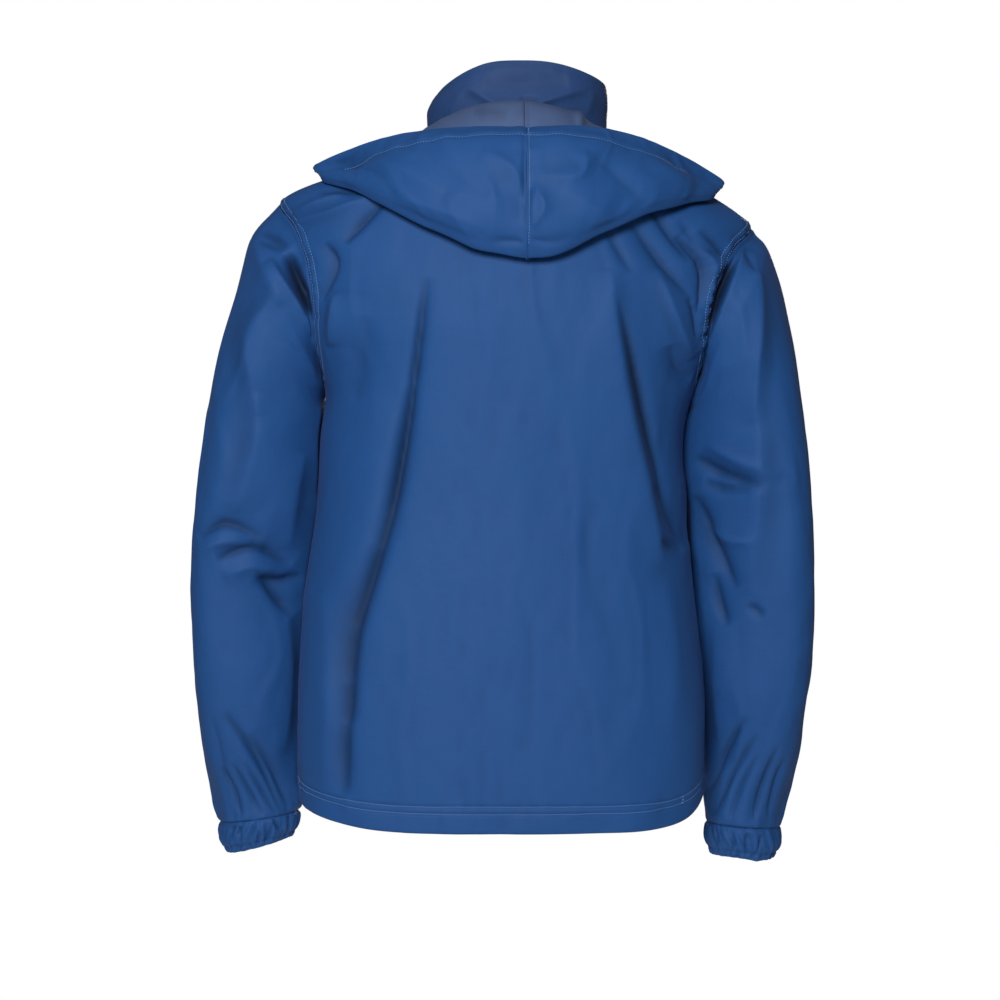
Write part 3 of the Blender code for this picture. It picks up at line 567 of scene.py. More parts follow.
def panel_levels(near_seam):
    """The heights of a panel's rows: even ones, but by even angles where they meet the armhole."""
    hem_rows, below_rows, armhole_rows, above_rows = BODY_ROWS
    hem = np.linspace(0, HEM + 6, hem_rows + 1)[:-1]
    below = np.linspace(HEM + 6, UNDERARM_UP, below_rows + 1)[:-1]
    even = np.linspace(UNDERARM_UP, SHOULDER_UP, armhole_rows + 1)
    by_angle = ARMHOLE_MIDDLE - ARMHOLE_HALF * np.cos(np.linspace(0, math.pi, armhole_rows + 1))
    above = np.linspace(SHOULDER_UP, BACK_LENGTH, above_rows + 1)[1:]
    levels = [np.concatenate([hem, below, part, above])[:, None] for part in (even, by_angle)]
    return levels[0] + (levels[1] - levels[0]) * near_seam**4


def shares(start, end, counts, both_ends):
    """Steps from start to end, fine beside the seams, and wider towards a middle between two seams."""
    fine, even = counts
    edge = np.linspace(0, 0.05, fine + 1)[:-1]
    inside = np.linspace(0.05, 0.95 if both_ends else 1, even + 1)
    if both_ends:
        from_middle = (inside - 0.5) / 0.45
        inside = 0.5 + 0.45 * from_middle * (1.42 - 0.42 * np.abs(from_middle))
    tail = 1 - edge[::-1] if both_ends else []
    return start + (end - start) * np.concatenate([edge, inside, tail])


def dressed_panel(share, turn_of, creases, drape, pucker, seed):
    """A panel's outer points with their creases, seams and hem."""
    up = panel_levels(np.abs(share))
    turn = turn_of(share, up)
    around = DEGREE_ROUND * turn
    turn = np.radians(turn)
    plain, out = ring(body_at, turn, up), ring_outward(body_at, turn, up)
    from_back = np.degrees(np.arccos(np.clip(np.cos(turn), -1, 1)))
    at_back = from_back <= 90
    to_side = DEGREE_ROUND * np.abs(from_back - 90)
    to_zip = np.where(at_back, 200, 1.3 * (180 - from_back) - ZIP_WIDTH / 2)
    sides = [armhole(side, ARMHOLE_PLACES)[0] for side in (1, -1)]
    places = [seam_places(plain, np.concatenate([edge, edge[:1]])) for edge in sides]
    nearer = places[0][0] < places[1][0]
    apart, along = (np.where(nearer, a, b) for a, b in zip(*places))
    fade = soft(apart / 11) * soft(np.where(up < UNDERARM_UP, to_side, 99) / 10) * soft(to_zip / 12)
    fade = fade * soft((BACK_LENGTH - up) / 12) * (0.35 + 0.65 * soft((up - 14) / 26))
    height = creases_at(plain, creases)
    height += drape * 0.9 * noise(around / 64 + 9, up / 190, seed)
    height += drape * 0.4 * noise(around / 27 + 9, up / 110, seed + 1)
    swayed = around / 58 + 9 + 0.25 * noise(around / 40, up / 90, seed + 2)
    height += drape * 1.1 * ridges(swayed, up / 260, seed + 3)
    height += drape * 0.35 * noise(around / 11 + 9, up / 22, seed + 4)
    height *= fade
    tight = 1 + 1.3 * (plain[..., 0] < 0) * bell(up - 520, 60) * at_back
    height += pucker * 1.3 * tight * noise(along / 5.5, apart / 22, seed + 5) * bell(apart - 6, 7)
    height += pucker * 0.8 * ridges(along / 15, apart / 60, seed + 6) * bell(apart - 4, 16)
    for row in ARMHOLE_STITCHES:
        height -= 0.5 * bell(apart - row, 1.1)
    height += 0.5 * bell(apart - 6.2, 2.4)
    near_side = np.where(up < UNDERARM_UP + 4, to_side, 99)
    height -= 0.8 * (bell(apart, 1.3) + bell(near_side, 1.6) + bell(to_zip - 3.2, 1.1))
    height += pucker * 0.7 * noise(up / 7, near_side / 25, seed + 7) * bell(near_side - 4, 6)
    height += 0.7 * soft((HEM - up) / 2) - 0.8 * sum(bell(up - row, 1.5) for row in HEM_ROWS)
    height += pucker * 0.9 * noise(around / 7, up / 24, seed + 8) * bell(up - 22, 11)
    height += pucker * 1.6 * noise(around / 26, up / 60, seed + 9) * bell(up - 12, 26)
    height -= 0.8 * soft((3 - up) / 3)
    return plain + out * height[..., None]


@functools.cache
def back_points(drape, pucker):
    """The back's outer points, from its left side to its right."""

    def turn_of(share, up):
        return 90 * share - ARMHOLE_BACK * armhole_reach(up) * share**3

    return dressed_panel(shares(1, -1, BACK_COLUMNS, True), turn_of, BACK_CREASES, drape, pucker, 11)


@functools.cache
def front_points(side, drape, pucker):
    """A front's outer points, from the zip to its side seam."""

    def turn_of(share, up):
        edge = np.degrees((ZIP_WIDTH / 2 - 0.6) / -body_at("front_y", up))
        return side * (180 - edge - (90 - edge) * share + ARMHOLE_FRONT * armhole_reach(up) * share**3)

    columns = shares(1, 0, FRONT_COLUMNS, False)[::-1]
    return dressed_panel(columns, turn_of, FRONT_CREASES, drape, pucker, 31 + side)


@functools.cache
def body_tree(drape, pucker, every):
    """A search tree over the panels' outer faces, with one row and column in every few."""
    fronts = [(front_points(side, drape, pucker), side < 0) for side in (1, -1)]
    points, faces = [], []
    for grid, flip in ((back_points(drape, pucker), False), *fronts):
        rows, columns = ([*range(0, size - 1, every), size - 1] for size in grid.shape[:2])
        grid = grid[np.ix_(rows, columns)]
        faces += (quads(*grid.shape[:2], False, flip) + len(points)).tolist()
        points += grid.reshape(-1, 3).tolist()
    return BVHTree.FromPolygons(points, faces)


def keep_clear(points, tree, clearance, reach=40.0):
    """Points nearer to the panels than the clearance, or behind them, are moved straight out."""
    moved = points.reshape(-1, 3).copy()
    for i, point in enumerate(moved):
        place, normal, _, _ = tree.find_nearest(point, reach)
        if place is not None:
            out = (Vector(point) - place).dot(normal)
            if out < clearance:
                moved[i] += np.array(normal) * (clearance - out)
    return moved.reshape(points.shape)


def sleeve_ring(rows, side, angle, down):
    """A ring of a sleeve at a distance down it; angle 0 is its outer side and 90 degrees its back."""
    read, down = reader(SLEEVE_TABLE, rows), np.full(angle.shape, down)
    tilt = np.radians(read("tilt", down))
    out = np.cos(angle) * np.where(np.cos(angle) >= 0, read("half_out", down), read("half_in", down))
    back = np.sin(angle) * read("half_back", down)
    x = read("x", down) + side * (out * np.cos(tilt) + read("skew", down) * back)
    return np.stack([x, read("y", down) + back, read("z", down) + out * np.sin(tilt)], axis=-1)


SLEEVES = {
    1: (SLEEVE_LEFT, LEFT_SLEEVE_BACK, LEFT_SLEEVE_FRONT),
    -1: (SLEEVE_RIGHT, RIGHT_SLEEVE_BACK, RIGHT_SLEEVE_FRONT),
}


@functools.cache
def sleeve_points(side, drape, pucker):
    """A sleeve's outer points, ring by ring from under the body's edge to the wrist."""
    rows, back_table, front_table = SLEEVES[side]
    angle = full_turn(SLEEVE_COLUMNS)
    edge, off = armhole(side, SLEEVE_COLUMNS)
    cap, wrist = rows[0][0], rows[-2][0]
    even = np.linspace(cap, wrist, 400)
    packed = np.cumsum(1 + 0.9 * bell(even - cap, 80) + 0.8 * bell(even - 370, 60) + bell(even - wrist, 70))
    down = np.interp(np.linspace(packed[0], packed[-1], SLEEVE_ROWS), packed, even)
    tube = np.stack([sleeve_ring(rows, side, angle, d) for d in down])
    start = edge + off * 3.5
    across = np.linalg.norm(tube[0] - start, axis=-1, keepdims=True)
    lead = (sleeve_ring(rows, side, angle, cap + 4.0) - tube[0]) / 4.0 * across
    inward = -unit(edge - edge.mean(axis=0))
    top = [edge - off * 1.0 + inward * 1.2, edge + off * 0.4 + inward * 0.5, edge + off * 1.8, start]
    for t in np.linspace(0, 1, 20)[1:-1]:
        near = start * (1 + 2 * t) * (1 - t) ** 2 + off * 0.7 * across * t * (1 - t) ** 2
        top.append(near + tube[0] * t**2 * (3 - 2 * t) + lead * t**2 * (t - 1))
    points = np.concatenate([top, tube])
    lower, inner = slice(len(top) + 22, None), np.flatnonzero(np.cos(angle) < 0)
    points[lower, inner] = keep_clear(points[lower, inner], body_tree(drape, pucker, COARSE), SLEEVE_CLEAR)
    normals = grid_normals(points, closed=True, flip=side > 0)
    along = run_along(points).mean(axis=1)[:, None] + 0 * angle
    left = along[-1, 0] - along
    behind = soft(0.5 + 1.4 * np.sin(angle))
    pressed = creases_at(points, back_table) * behind + creases_at(points, front_table) * (1 - behind)
    turn = angle / (2 * math.pi)
    height = drape * 1.4 * noise(6 * turn, along / 110, 51 + side, 6)
    height += drape * 0.6 * noise(15 * turn, along / 50, 53 + side, 15)
    height += drape * 1.2 * ridges(7 * turn, along / 95, 55 + side, 7)
    height += drape * 0.35 * noise(34 * turn, along / 18, 57 + side, 34)
    height *= soft((along - 5) / 16) * soft(left / 14)
    height += pressed * soft((along - 2.5) / 7) * soft(left / 3)
    height += pucker * 1.3 * noise(60 * turn, along / 26, 59 + side, 60) * bell(along - 6, 9)
    gathers = noise(19 * turn, left / 90, 61 + side, 19) + 0.5 * noise(38 * turn, left / 40, 63 + side, 38)
    height += pucker * 2.6 * gathers * np.exp(-left / 34) * soft(left / 3)
    near_wrist = np.clip((along - 0.68 * along[-1, 0]) / (0.32 * along[-1, 0]), 0, 1)
    height += 1.6 * near_wrist * (1 - near_wrist**6) * np.cos(6 * angle)
    height -= 1.6 * bell(left, 2.0)
    return points + normals * height[..., None]


@functools.cache
def cuff_points(side, pucker):
    """A ruched cuff's outer points, from inside the sleeve's end to the edge turned in at its own."""
    rows = SLEEVES[side][0]
    angle = full_turn(CUFF_COLUMNS)
    turn = angle / (2 * math.pi)
    top, end = rows[-2][0], rows[-1][0]
    first = sleeve_ring(rows, side, angle, top)
    steps = [(2.6, -0.2), (2.2, -0.08), *((0, t) for t in np.linspace(0, 1, 26))]
    rings = []
    for inside, step in (*steps, (0.7, 1.02), (2.2, 1.02), (3.0, 0.97), (3.2, 0.9)):
        points = sleeve_ring(rows, side, angle, top + (end - top) * min(step, 1.0))
        away = unit(points - points.mean(axis=0))
        points = points + (points - first) * max(0, step - 1)
        share = max(0.0, min(step, 1.0))
        sway = 1.5 * noise(6 * turn, share * 1.3, 71 + side, 6)
        finer = np.abs(np.sin(14.5 * angle + 2 * sway + 1.3 * share))
        pleats = np.abs(np.sin(8.5 * angle + sway)) + 0.7 * finer
        ruche = 2.6 * (pleats - 1.1) * (0.6 + 0.7 * noise(9 * turn, share * 2, 73 + side, 9) ** 2)
        ruche += 1.4 * noise(34 * turn, share * 2.5, 75 + side, 34)
        swell = 1.6 * math.sin(math.pi * min(share * 1.15, 1.0)) - 4.2 * max(0.0, share - 0.5) ** 1.6 * 3.0
        swell -= 1.2 * sum(bell(28 * (share - place), 1.3) for place in (0.0, 0.80))
        depth = pucker * ruche * min(1.0, 0.3 + 3 * share) * (step >= 0) + swell - inside
        depth += creases_at(points, CUFF_CREASES[side]) * soft(0.5 + 1.4 * np.sin(angle)) * soft(6 * step)
        points[:, 2] += pucker * 1.5 * share**3 * noise(16 * turn, 0 * turn + 0.5, 77 + side, 16)
        rings.append(points + away * depth[:, None])
    return np.stack(rings)


@functools.cache
def collar_points(drape):
    """The collar's outer face from the neck seam, over its top edge and down its inner face."""
    top = COLLAR[-1][0]
    rise = np.concatenate([np.linspace(0, 3, 3)[:-1], np.linspace(3, top, 32)])
    share, level = np.meshgrid(np.linspace(1, -1, COLLAR_COLUMNS), rise)
    edge = (ZIP_WIDTH / 2 - 0.4) / -collar_at("front_y", level)
    turn = share * (math.pi - edge)
    outer, out = ring(collar_at, turn, level), ring_outward(collar_at, turn, level)
    across = 90 * share
    fade = soft(level / 6) * soft((top - level) / 3) * soft((1 - np.abs(share)) * 12)
    height = creases_at(outer, COLLAR_CREASES) * (outer[..., 1] > 0)
    height *= soft((level - 1) / 6) * soft((top + 3 - level) / 5)
    rough = drape * 0.9 * noise(across / 13, level / 22, 81) + drape * 0.5 * noise(across / 5, level / 12, 83)
    height += rough * fade
    height -= 0.5 * bell(level, 1.4) + 0.35 * bell(top - 5 - level, 1.1)
    outer = outer + out * height[..., None]
    thick = 2.2 * soft((1 - np.abs(share[0])) * 40) + 0.9
    up = unit(outer[-1] - outer[-4])
    over = []
    for angle in np.radians((30, 60, 90, 120, 150)):
        rise, back = thick / 2 * np.sin(angle), thick / 2 * (1 - np.cos(angle))
        over.append(outer[-1] + (up * rise[:, None] - out[-1] * back[:, None]))
    inner = outer[::-1][::2] - out[::-1][::2] * thick[:, None]
    return np.concatenate([outer, over, inner])


@functools.cache
def hood_points(side, drape, pucker):
    """Half of the hood in sections from its middle seam: down its near side, round its fold and up."""
    rows = HOOD_LEFT if side > 0 else HOOD_RIGHT
    read = reader(HOOD_TABLE, rows)
    stops = np.cumsum((0,) + HOOD_ROWS).astype(float)
    first, last = rows[0][0], rows[-1][0]
    sections = []
    places = first + (last - first) * np.linspace(0, 1, HOOD_COLUMNS) ** 1.12
    for place in places:
        neck = ring(body_at, np.radians(side * place), BACK_LENGTH - 0.5)
        fold = np.array([read(f"fold_{axis}", place) for axis in "xyz"])
        edge = np.array([read(f"edge_{axis}", place) for axis in "xyz"])
        run_x, run_y = (read(f"fold_{axis}", place + 1) - read(f"fold_{axis}", place - 1) for axis in "xy")
        out = np.array([-side * run_y, side * run_x, 0.0]) / math.hypot(run_x, run_y)
        roll, bulge, lean, stand = (float(read(name, place)) for name in ("roll", "bulge", "lean", "stand"))
        rise = np.array([0, 0, 1.3 * roll])
        turn, up = math.radians(lean), np.array([0, 0, 1.0])
        brim = edge - out * RIM_HANGS * math.sin(turn) + up * 2.6 * math.sin(turn)
        hang = 1 - 0.86 * float(soft((place - 86) / 12))
        below = edge + out * 1.0 - up * (RIM_HANGS * math.cos(turn) - 1.5) * hang
        turned_up = np.array([
            neck,
            neck + unit(neck * (1, 1, 0)) * 5 + up * stand,
            neck * 0.5 + (fold + rise) * 0.5 + out * 5,
            fold - out * 2 * roll + rise,
            fold - out * roll,
            fold + rise,
            fold * 0.45 + edge * 0.55 + out * bulge,
            below,
            brim,
        ])
        lying = neck + (edge - neck) * np.array([0, 0.1, 0.4, 0.6, 0.7, 0.8, 0.87, 0.94, 1.0])[:, None]
        stations = lying + (turned_up - lying) * np.clip((LYING_FROM - place) / 16, 0, 1)
        along = run_along(stations)
        sections.append(through(along, stations, np.interp(np.arange(stops[-1] + 1), stops, along)))
    points = np.stack(sections)
    points[1:, 3:] = keep_clear(points[1:, 3:], body_tree(drape, pucker, COARSE), HOOD_CLEAR)
    normals = grid_normals(points, flip=side < 0)
    along = run_along(points, 1)
    to_rim = along[:, -1:] - along
    from_seam = run_along(points).mean(axis=1)[:, None] + 0 * along
    step = np.arange(points.shape[1])
    outside = soft((step - stops[5] + 4) / 8)[None, :]
    table = HOOD_LEFT_CREASES if side > 0 else HOOD_RIGHT_CREASES
    height = creases_at(points, table) * outside - creases_at(points, HOOD_INNER_CREASES) * (1 - outside)
    finer = 0.8 * noise(from_seam / 24, along / 30, 93 + side)
    height += drape * (1.6 * noise(from_seam / 52, along / 60, 91 + side) + finer)
    swayed = from_seam / 46 + 0.4 * noise(from_seam / 30, along / 30, 95)
    height += drape * 1.2 * ridges(swayed, along / 70, 97 + side) * outside
    height *= soft(from_seam / 7) * soft(along / 10) * soft(to_rim / 10)
    height *= soft((from_seam[-1] - from_seam) / 10)
    height += pucker * 1.0 * noise(from_seam / 8, to_rim / 26, 99 + side) * bell(to_rim - 13, 12)
    height += pucker * 0.8 * noise(along / 8, from_seam / 24, 101 + side) * bell(from_seam - 4, 7)
    height += 0.6 * soft((RIM_HEM - to_rim) / 2) - 0.7 * bell(to_rim - RIM_HEM, 1.3)
    height -= 0.6 * bell(from_seam - SEAM_STITCHES, 1.0)
    height -= 0.9 * bell(from_seam, 1.4)
    height *= np.clip(from_seam * 4, 0, 1)
    points = points + normals * height[..., None]
    outward, up = normals[:, -1], unit(points[:, -1] - points[:, -3])
    turns = (0.6, 0.5), (0.6, 1.5), (-0.4, 2.0), (-2.4, 2.0)
    turned = [points[:, -1] + up * rise - outward * inwards for rise, inwards in turns]
    return np.concatenate([points, np.stack(turned, axis=1)], axis=1)


def zip_line(count=160):
    """The middle of the zip, from the hem up the fronts and the collar, and the way out of it."""
    ups, rises = np.linspace(2, BACK_LENGTH - 6, count), np.linspace(4, COLLAR[-1][0] - 6.0, 12)
    parts = [
        np.stack([read(name, places) for name in ZIP_MIDDLE], axis=-1)
        for read, places in ((body_at, ups), (collar_at, rises))
    ]
    line = np.concatenate(parts)
    return line, unit(np.cross((1.0, 0.0, 0.0), np.gradient(line, axis=0)))


def evenly(line, pitch, *others):
    """A line, and others beside it, read at even distances along the first."""
    along = run_along(line)
    at = np.arange(pitch / 2, along[-1], pitch)
    return [
        np.stack([np.interp(at, along, each[:, k]) for k in range(3)], axis=-1) for each in (line, *others)
    ]


# Meshes


def quads(rows, columns, closed, flip):
    """The faces of a grid of points, row by row. A closed grid joins its last column to its first."""
    places = np.arange(columns if closed else columns - 1)
    i, j = np.meshgrid(np.arange(rows - 1) * columns, places, indexing="ij")
    k = (j + 1) % columns
    faces = np.stack([i + j, i + k, i + columns + k, i + columns + j], axis=-1).reshape(-1, 4)
    return faces[:, ::-1] if flip else faces


def mesh_object(name, points, faces, materials):
    """A smooth mesh object from points in millimetres."""
    mesh = bpy.data.meshes.new(name)
    mesh.from_pydata((points.reshape(-1, 3) * MM).tolist(), [], faces)
    for material in materials:
        mesh.materials.append(material)
    piece = bpy.data.objects.new(name, mesh)
    bpy.context.scene.collection.objects.link(piece)
    mesh.shade_smooth()
    return piece


def wrap(points, closed):
    """A grid with its first column again at its end, where it is closed."""
    return np.concatenate([points, points[:, :1]], axis=1) if closed else points


def cloth(name, points, thickness, closed, flip, materials, tables=()):
    """A piece of cloth through a grid of outer points, with its cut's own coordinates, a thin wall, and painted
    shade in its hollows and creases.
    """
    normals = grid_normals(points, closed, flip)
    # Painted shade: the colour is darkened where the cloth is hollow and beside its creases, as occlusion would
    # shade it.
    shade = HOLLOW_SHADE * hollows(points, normals, closed)
    for table, faces_back in tables:
        facing = soft(0.5 + 2 * normals[..., 1] * (1 if faces_back else -1))
        shade += creases_at(points, table, shaded=True) * facing
    piece = mesh_object(name, points, quads(*points.shape[:2], closed, flip).tolist(), materials)
    across, down = run_along(wrap(points, closed), 1), run_along(wrap(points, closed))
    across -= across[:, across.shape[1] // 2][:, None]
    down = down * 0 + down.mean(axis=1, keepdims=True)
    cut = np.stack([across, down], axis=-1) * MM
    corners = np.stack([cut[:-1, :-1], cut[:-1, 1:], cut[1:, 1:], cut[1:, :-1]], axis=2)
    corners = corners[:, :, ::-1] if flip else corners
    # The folds attribute carries this painted shade to the cloth's material.
    folds = piece.data.attributes.new("folds", "FLOAT", "POINT")
    folds.data.foreach_set("value", np.clip(shade, 0, DARKEST_SHADE).reshape(-1).astype(np.float32))
    layer = piece.data.uv_layers.new(name="UVMap")
    layer.data.foreach_set("uv", corners.reshape(-1).astype(np.float32))
    select_only(piece)
    wall = piece.modifiers.new("wall", "SOLIDIFY")
    wall.thickness, wall.offset = thickness * MM, -1
    wall.material_offset, wall.material_offset_rim = 1, 0
    bpy.ops.object.modifier_apply(modifier=wall.name)
    piece.data.shade_smooth()
    return piece


def sewn(piece, node):
    """Puts a finished piece of cloth on the jacket in its CAD node's place, and hides that node."""
    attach(piece, "jacket")
    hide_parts(node)


def select_only(piece):
    """Leaves one object selected, and active."""
    bpy.ops.object.select_all(action="DESELECT")
    piece.select_set(True)
    bpy.context.view_layer.objects.active = piece


def copies(name, model, places, forward, up, materials):
    """Copies of a small model along a line, each turned with its own axes, as one piece."""
    base = np.array([v.co for v in model.data.vertices]) / MM
    faces = [tuple(p.vertices) for p in model.data.polygons]
    bpy.data.objects.remove(model, do_unlink=True)
    side = unit(np.cross(up, forward))
    axes = np.stack([forward, side, unit(np.cross(forward, side))], axis=1)
    points = np.einsum("vk,nkc->nvc", base, axes) + places[:, None]
    starts = range(0, len(base) * len(places), len(base))
    all_faces = [tuple(start + v for v in face) for start in starts for face in faces]
    return mesh_object(name, points, all_faces, materials)


# Materials


def feed(tree, node, inputs):
    """Gives a node its values, and the sockets that feed it."""
    for name, value in inputs.items():
        if isinstance(value, bpy.types.NodeSocket):
            tree.links.new(value, node.inputs[name])
        else:
            node.inputs[name].default_value = value


def put(tree, kind, output, inputs, **settings):
    """Adds a shader node with its settings and inputs, and gives the output that is used."""
    made = tree.nodes.new("ShaderNode" + kind)
    for name, value in settings.items():
        setattr(made, name, value)
    feed(tree, made, inputs)
    return made.outputs[output]


def worked(tree, operation, *values):
    """The result of a sum on one or more values."""
    return put(tree, "Math", 0, dict(enumerate(values)), operation=operation)


def noisy(tree, place, scale, detail, stretch=None, **more):
    """Noise on a place, stretched by a scale for each axis where one is given."""
    if stretch:
        place = put(tree, "Mapping", "Vector", {"Vector": place, "Scale": stretch})
    return put(tree, "TexNoise", "Fac", {"Vector": place, "Scale": scale, "Detail": detail, **more})


def ranged(tree, value, low, high):
    """A value from 0 to 1, made to run from low to high."""
    return put(tree, "MapRange", "Result", {"Value": value, "To Min": low, "To Max": high})


def tinted(tree, colour, tone):
    """A colour, made lighter or darker."""
    return put(tree, "VectorMath", "Vector", {0: colour[:3], "Scale": tone}, operation="SCALE")


def bumped(tree, height, strength, distance, under=None):
    """Relief, over what is already there where that is given."""
    inputs = {"Height": height, "Strength": strength, "Distance": distance}
    return put(tree, "Bump", "Normal", inputs | ({"Normal": under} if under else {}))


def blank(name, place=("TexCoord", "Object", {})):
    """A new material, its nodes, its shader, and where its pattern is placed."""
    made = bpy.data.materials.new(name)
    made.use_nodes = True
    tree = made.node_tree
    return made, tree, tree.nodes["Principled BSDF"], put(tree, *place)


def woven(name, colour, roughness, sheen, thread_mm, slub, weave):
    """Fine plain-woven nylon, on the cut's own coordinates: two sets of threads, uneven in places, darkened by
    the painted shade of the folds attribute.
    """
    material, tree, shader, place = blank(name, ("UVMap", "UV", {}))
    place.node.uv_map = "UVMap"
    wave = {"Vector": place, "Scale": 0.31416 / (thread_mm * MM)}
    sets = (put(tree, "TexWave", "Fac", wave, bands_direction=way) for way in "XY")
    threads = worked(tree, "MULTIPLY", *sets)
    stretches = (820.0, 26.0, 1.0), (30.0, 900.0, 1.0)
    slubs = worked(tree, "ADD", *(noisy(tree, place, 1.0, 3.0, stretch) for stretch in stretches))
    tone = worked(tree, "MULTIPLY_ADD", slubs, slub, 1.0 - slub)
    tone = worked(tree, "MULTIPLY_ADD", noisy(tree, place, 14.0, 4.0), 0.16, tone)
    # Painted shade: the colour is darkened by the folds attribute, shade painted into hollows and creases.
    folds = put(tree, "Attribute", "Fac", {}, attribute_name="folds")
    unshaded = worked(tree, "SUBTRACT", 1.0, folds)
    tone = worked(tree, "MULTIPLY", worked(tree, "SUBTRACT", tone, 0.08), unshaded)
    crumpled = bumped(tree, noisy(tree, place, 95.0, 3.0, Roughness=0.55), 0.35, 0.0011)
    lumpy = bumped(tree, slubs, 0.25, 0.00016, crumpled)
    feed(tree, shader, {
        "Base Color": tinted(tree, colour, tone),
        "Normal": bumped(tree, threads, weave, 0.00012, lumpy),
        "Roughness": roughness,
        "Specular IOR Level": 0.18,
        "Sheen Weight": sheen,
        "Sheen Roughness": 0.45,
        "Sheen Tint": (0.42, 0.40, 0.75, 1.0),
    })
    return material


def thread_material(name, colour):
    """Twisted sewing thread."""
    material, tree, shader, place = blank(name)
    twist = noisy(tree, place, 2600.0, 2.0)
    feed(tree, shader, {
        "Base Color": tinted(tree, colour, ranged(tree, twist, 0.8, 1.2)),
        "Normal": bumped(tree, twist, 0.5, 0.0001),
        "Roughness": 0.5,
        "Sheen Weight": 0.2,
    })
    return material


def moulded(name, colour, roughness):
    """Moulded nylon, as of zip teeth: slightly cloudy, with a fine satin grain."""
    material, tree, shader, place = blank(name)
    cloudy = noisy(tree, place, 420.0, 3.0)
    feed(tree, shader, {
        "Base Color": tinted(tree, colour, ranged(tree, cloudy, 0.82, 1.18)),
        "Normal": bumped(tree, noisy(tree, place, 5200.0, 2.0), 0.25, 0.00005),
        "Roughness": ranged(tree, cloudy, roughness - 0.06, roughness + 0.08),
    })
    return material


def cast_metal(name, colour, roughness):
    """Plated cast metal, brushed a little and rubbed brighter in places."""
    material, tree, shader, place = blank(name)
    brushed = noisy(tree, place, 1.0, 3.0, (5200.0, 600.0, 260.0))
    rubbed = noisy(tree, place, 380.0, 4.0)
    feed(tree, shader, {
        "Base Color": tinted(tree, colour, ranged(tree, rubbed, 0.82, 1.2)),
        "Normal": bumped(tree, brushed, 0.18, 0.00005),
        "Roughness": ranged(tree, rubbed, roughness + 0.1, roughness - 0.1),
        "Metallic": 1.0,
    })
    return material


def painted(name, colour):
    """Matt studio floor paint, very slightly uneven."""
    material, tree, shader, place = blank(name)
    tone = ranged(tree, noisy(tree, place, 1.5, 2.0), 0.99, 1.01)
    feed(tree, shader, {"Base Color": tinted(tree, colour, tone), "Roughness": 0.8})
    return material


def material_of(look, name):
    """The jacket's materials, each made once."""
    cloths = {
        "nylon": (look.cloth_colour, look.roughness, look.sheen, look.thread, 0.10, 0.30),
        # The collar's nylon is the cloth made darker and greyer: painted shade for the shade on its
        # upward-leaning face.
        "nylon_collar": (look.collar_shaded_colour, look.roughness, look.sheen, look.thread, 0.10, 0.30),
        "nylon_wrong_side": (look.lining_colour, 0.62, 0.1, look.thread, 0.08, 0.25),
        "zip_tape_weave": (look.tape_colour, 0.7, 0.1, 0.9, 0.12, 0.6),
    }
    if name in bpy.data.materials:
        return bpy.data.materials[name]
    if name in cloths:
        return woven(name, *cloths[name])
    if name == "thread":
        return thread_material(name, look.thread_colour)
    if name == "zip_coil":
        return moulded(name, look.teeth_colour, 0.35)
    return cast_metal(name, look.metal_colour, 0.34)


# The add-on


def colour_of(name, description, *colour):
    """A colour that the panel can set."""
    return bpy.props.FloatVectorProperty(
        name=name, description=description, subtype="COLOR", size=4, min=0, max=1, default=(*colour, 1.0),
    )


def amount(name, description, low, high, default, **kind):
    """A number that the panel can set."""
    return bpy.props.FloatProperty(
        name=name, description=description, min=low, max=high, default=default, **kind,
    )


class ParkaLook(bpy.types.PropertyGroup):
    cloth_colour: colour_of("Cloth", "The nylon's right side", 0.0125, 0.066, 0.218)
    # Painted shade: the collar's colour is the cloth's, darkened and greyed for the shade on its upward-leaning
    # face.
    collar_shaded_colour: colour_of("Collar", "The collar's nylon, a little greyer", 0.0185, 0.052, 0.155)
    lining_colour: colour_of("Wrong side", "The nylon's coated wrong side", 0.060, 0.100, 0.215)
    thread_colour: colour_of("Thread", "The sewing thread", 0.125, 0.260, 0.520)
    tape_colour: colour_of("Zip tape", "The zip's woven tapes", 0.022, 0.062, 0.170)
    teeth_colour: colour_of("Zip teeth", "The zip's moulded teeth", 0.020, 0.060, 0.165)
    metal_colour: colour_of("Metal", "The slider and its pull", 0.33, 0.34, 0.36)
    roughness: amount("Cloth roughness", "How matt the nylon is", 0, 1, 0.62, subtype="FACTOR")
    sheen: amount("Cloth sheen", "How much the nylon's nap catches light", 0, 1, 0.04, subtype="FACTOR")
    thread: amount("Thread pitch", "From one thread of the weave to the next, in millimetres", 0.2, 2, 0.45)


class ParkaShape(bpy.types.PropertyGroup):
    drape: amount("Drape", "How deep the small uneven folds are", 0, 3, 1.0)
    pucker: amount("Puckers", "How much the seams and hems pull the cloth up", 0, 3, 1.0)
    wall: amount("Cloth", "The cloth's thickness", 0.0003, 0.002, 0.0006, unit="LENGTH")
    stitch: amount("Stitch", "From one stitch to the next", 0.002, 0.006, 0.003, unit="LENGTH")
    tooth: amount("Tooth", "From a tooth to the next on its side", 0.0012, 0.004, 0.0021, unit="LENGTH")


class ParkaStudio(bpy.types.PropertyGroup):
    camera_away: amount("Camera distance", "From the middle of the jacket", 0.5, 10, 2.4, unit="LENGTH")
    lens: amount("Lens", "Focal length in millimetres", 20, 300, 86.4)
    key: amount("Key light", "Its power", 0, 900, 80, unit="POWER")
    sky: amount("Room light", "How much light the room itself gives", 0, 3, 0.11)


def sizes(context):
    """How deep the folds and puckers are, and the cloth's thickness in millimetres."""
    shape = context.scene.parka_shape
    return round(shape.drape, 3), round(shape.pucker, 3), shape.wall / MM


def faces_of(context, right_side="nylon"):
    """The materials of the cloth's right and wrong side."""
    return [material_of(context.scene.parka_look, name) for name in (right_side, "nylon_wrong_side")]


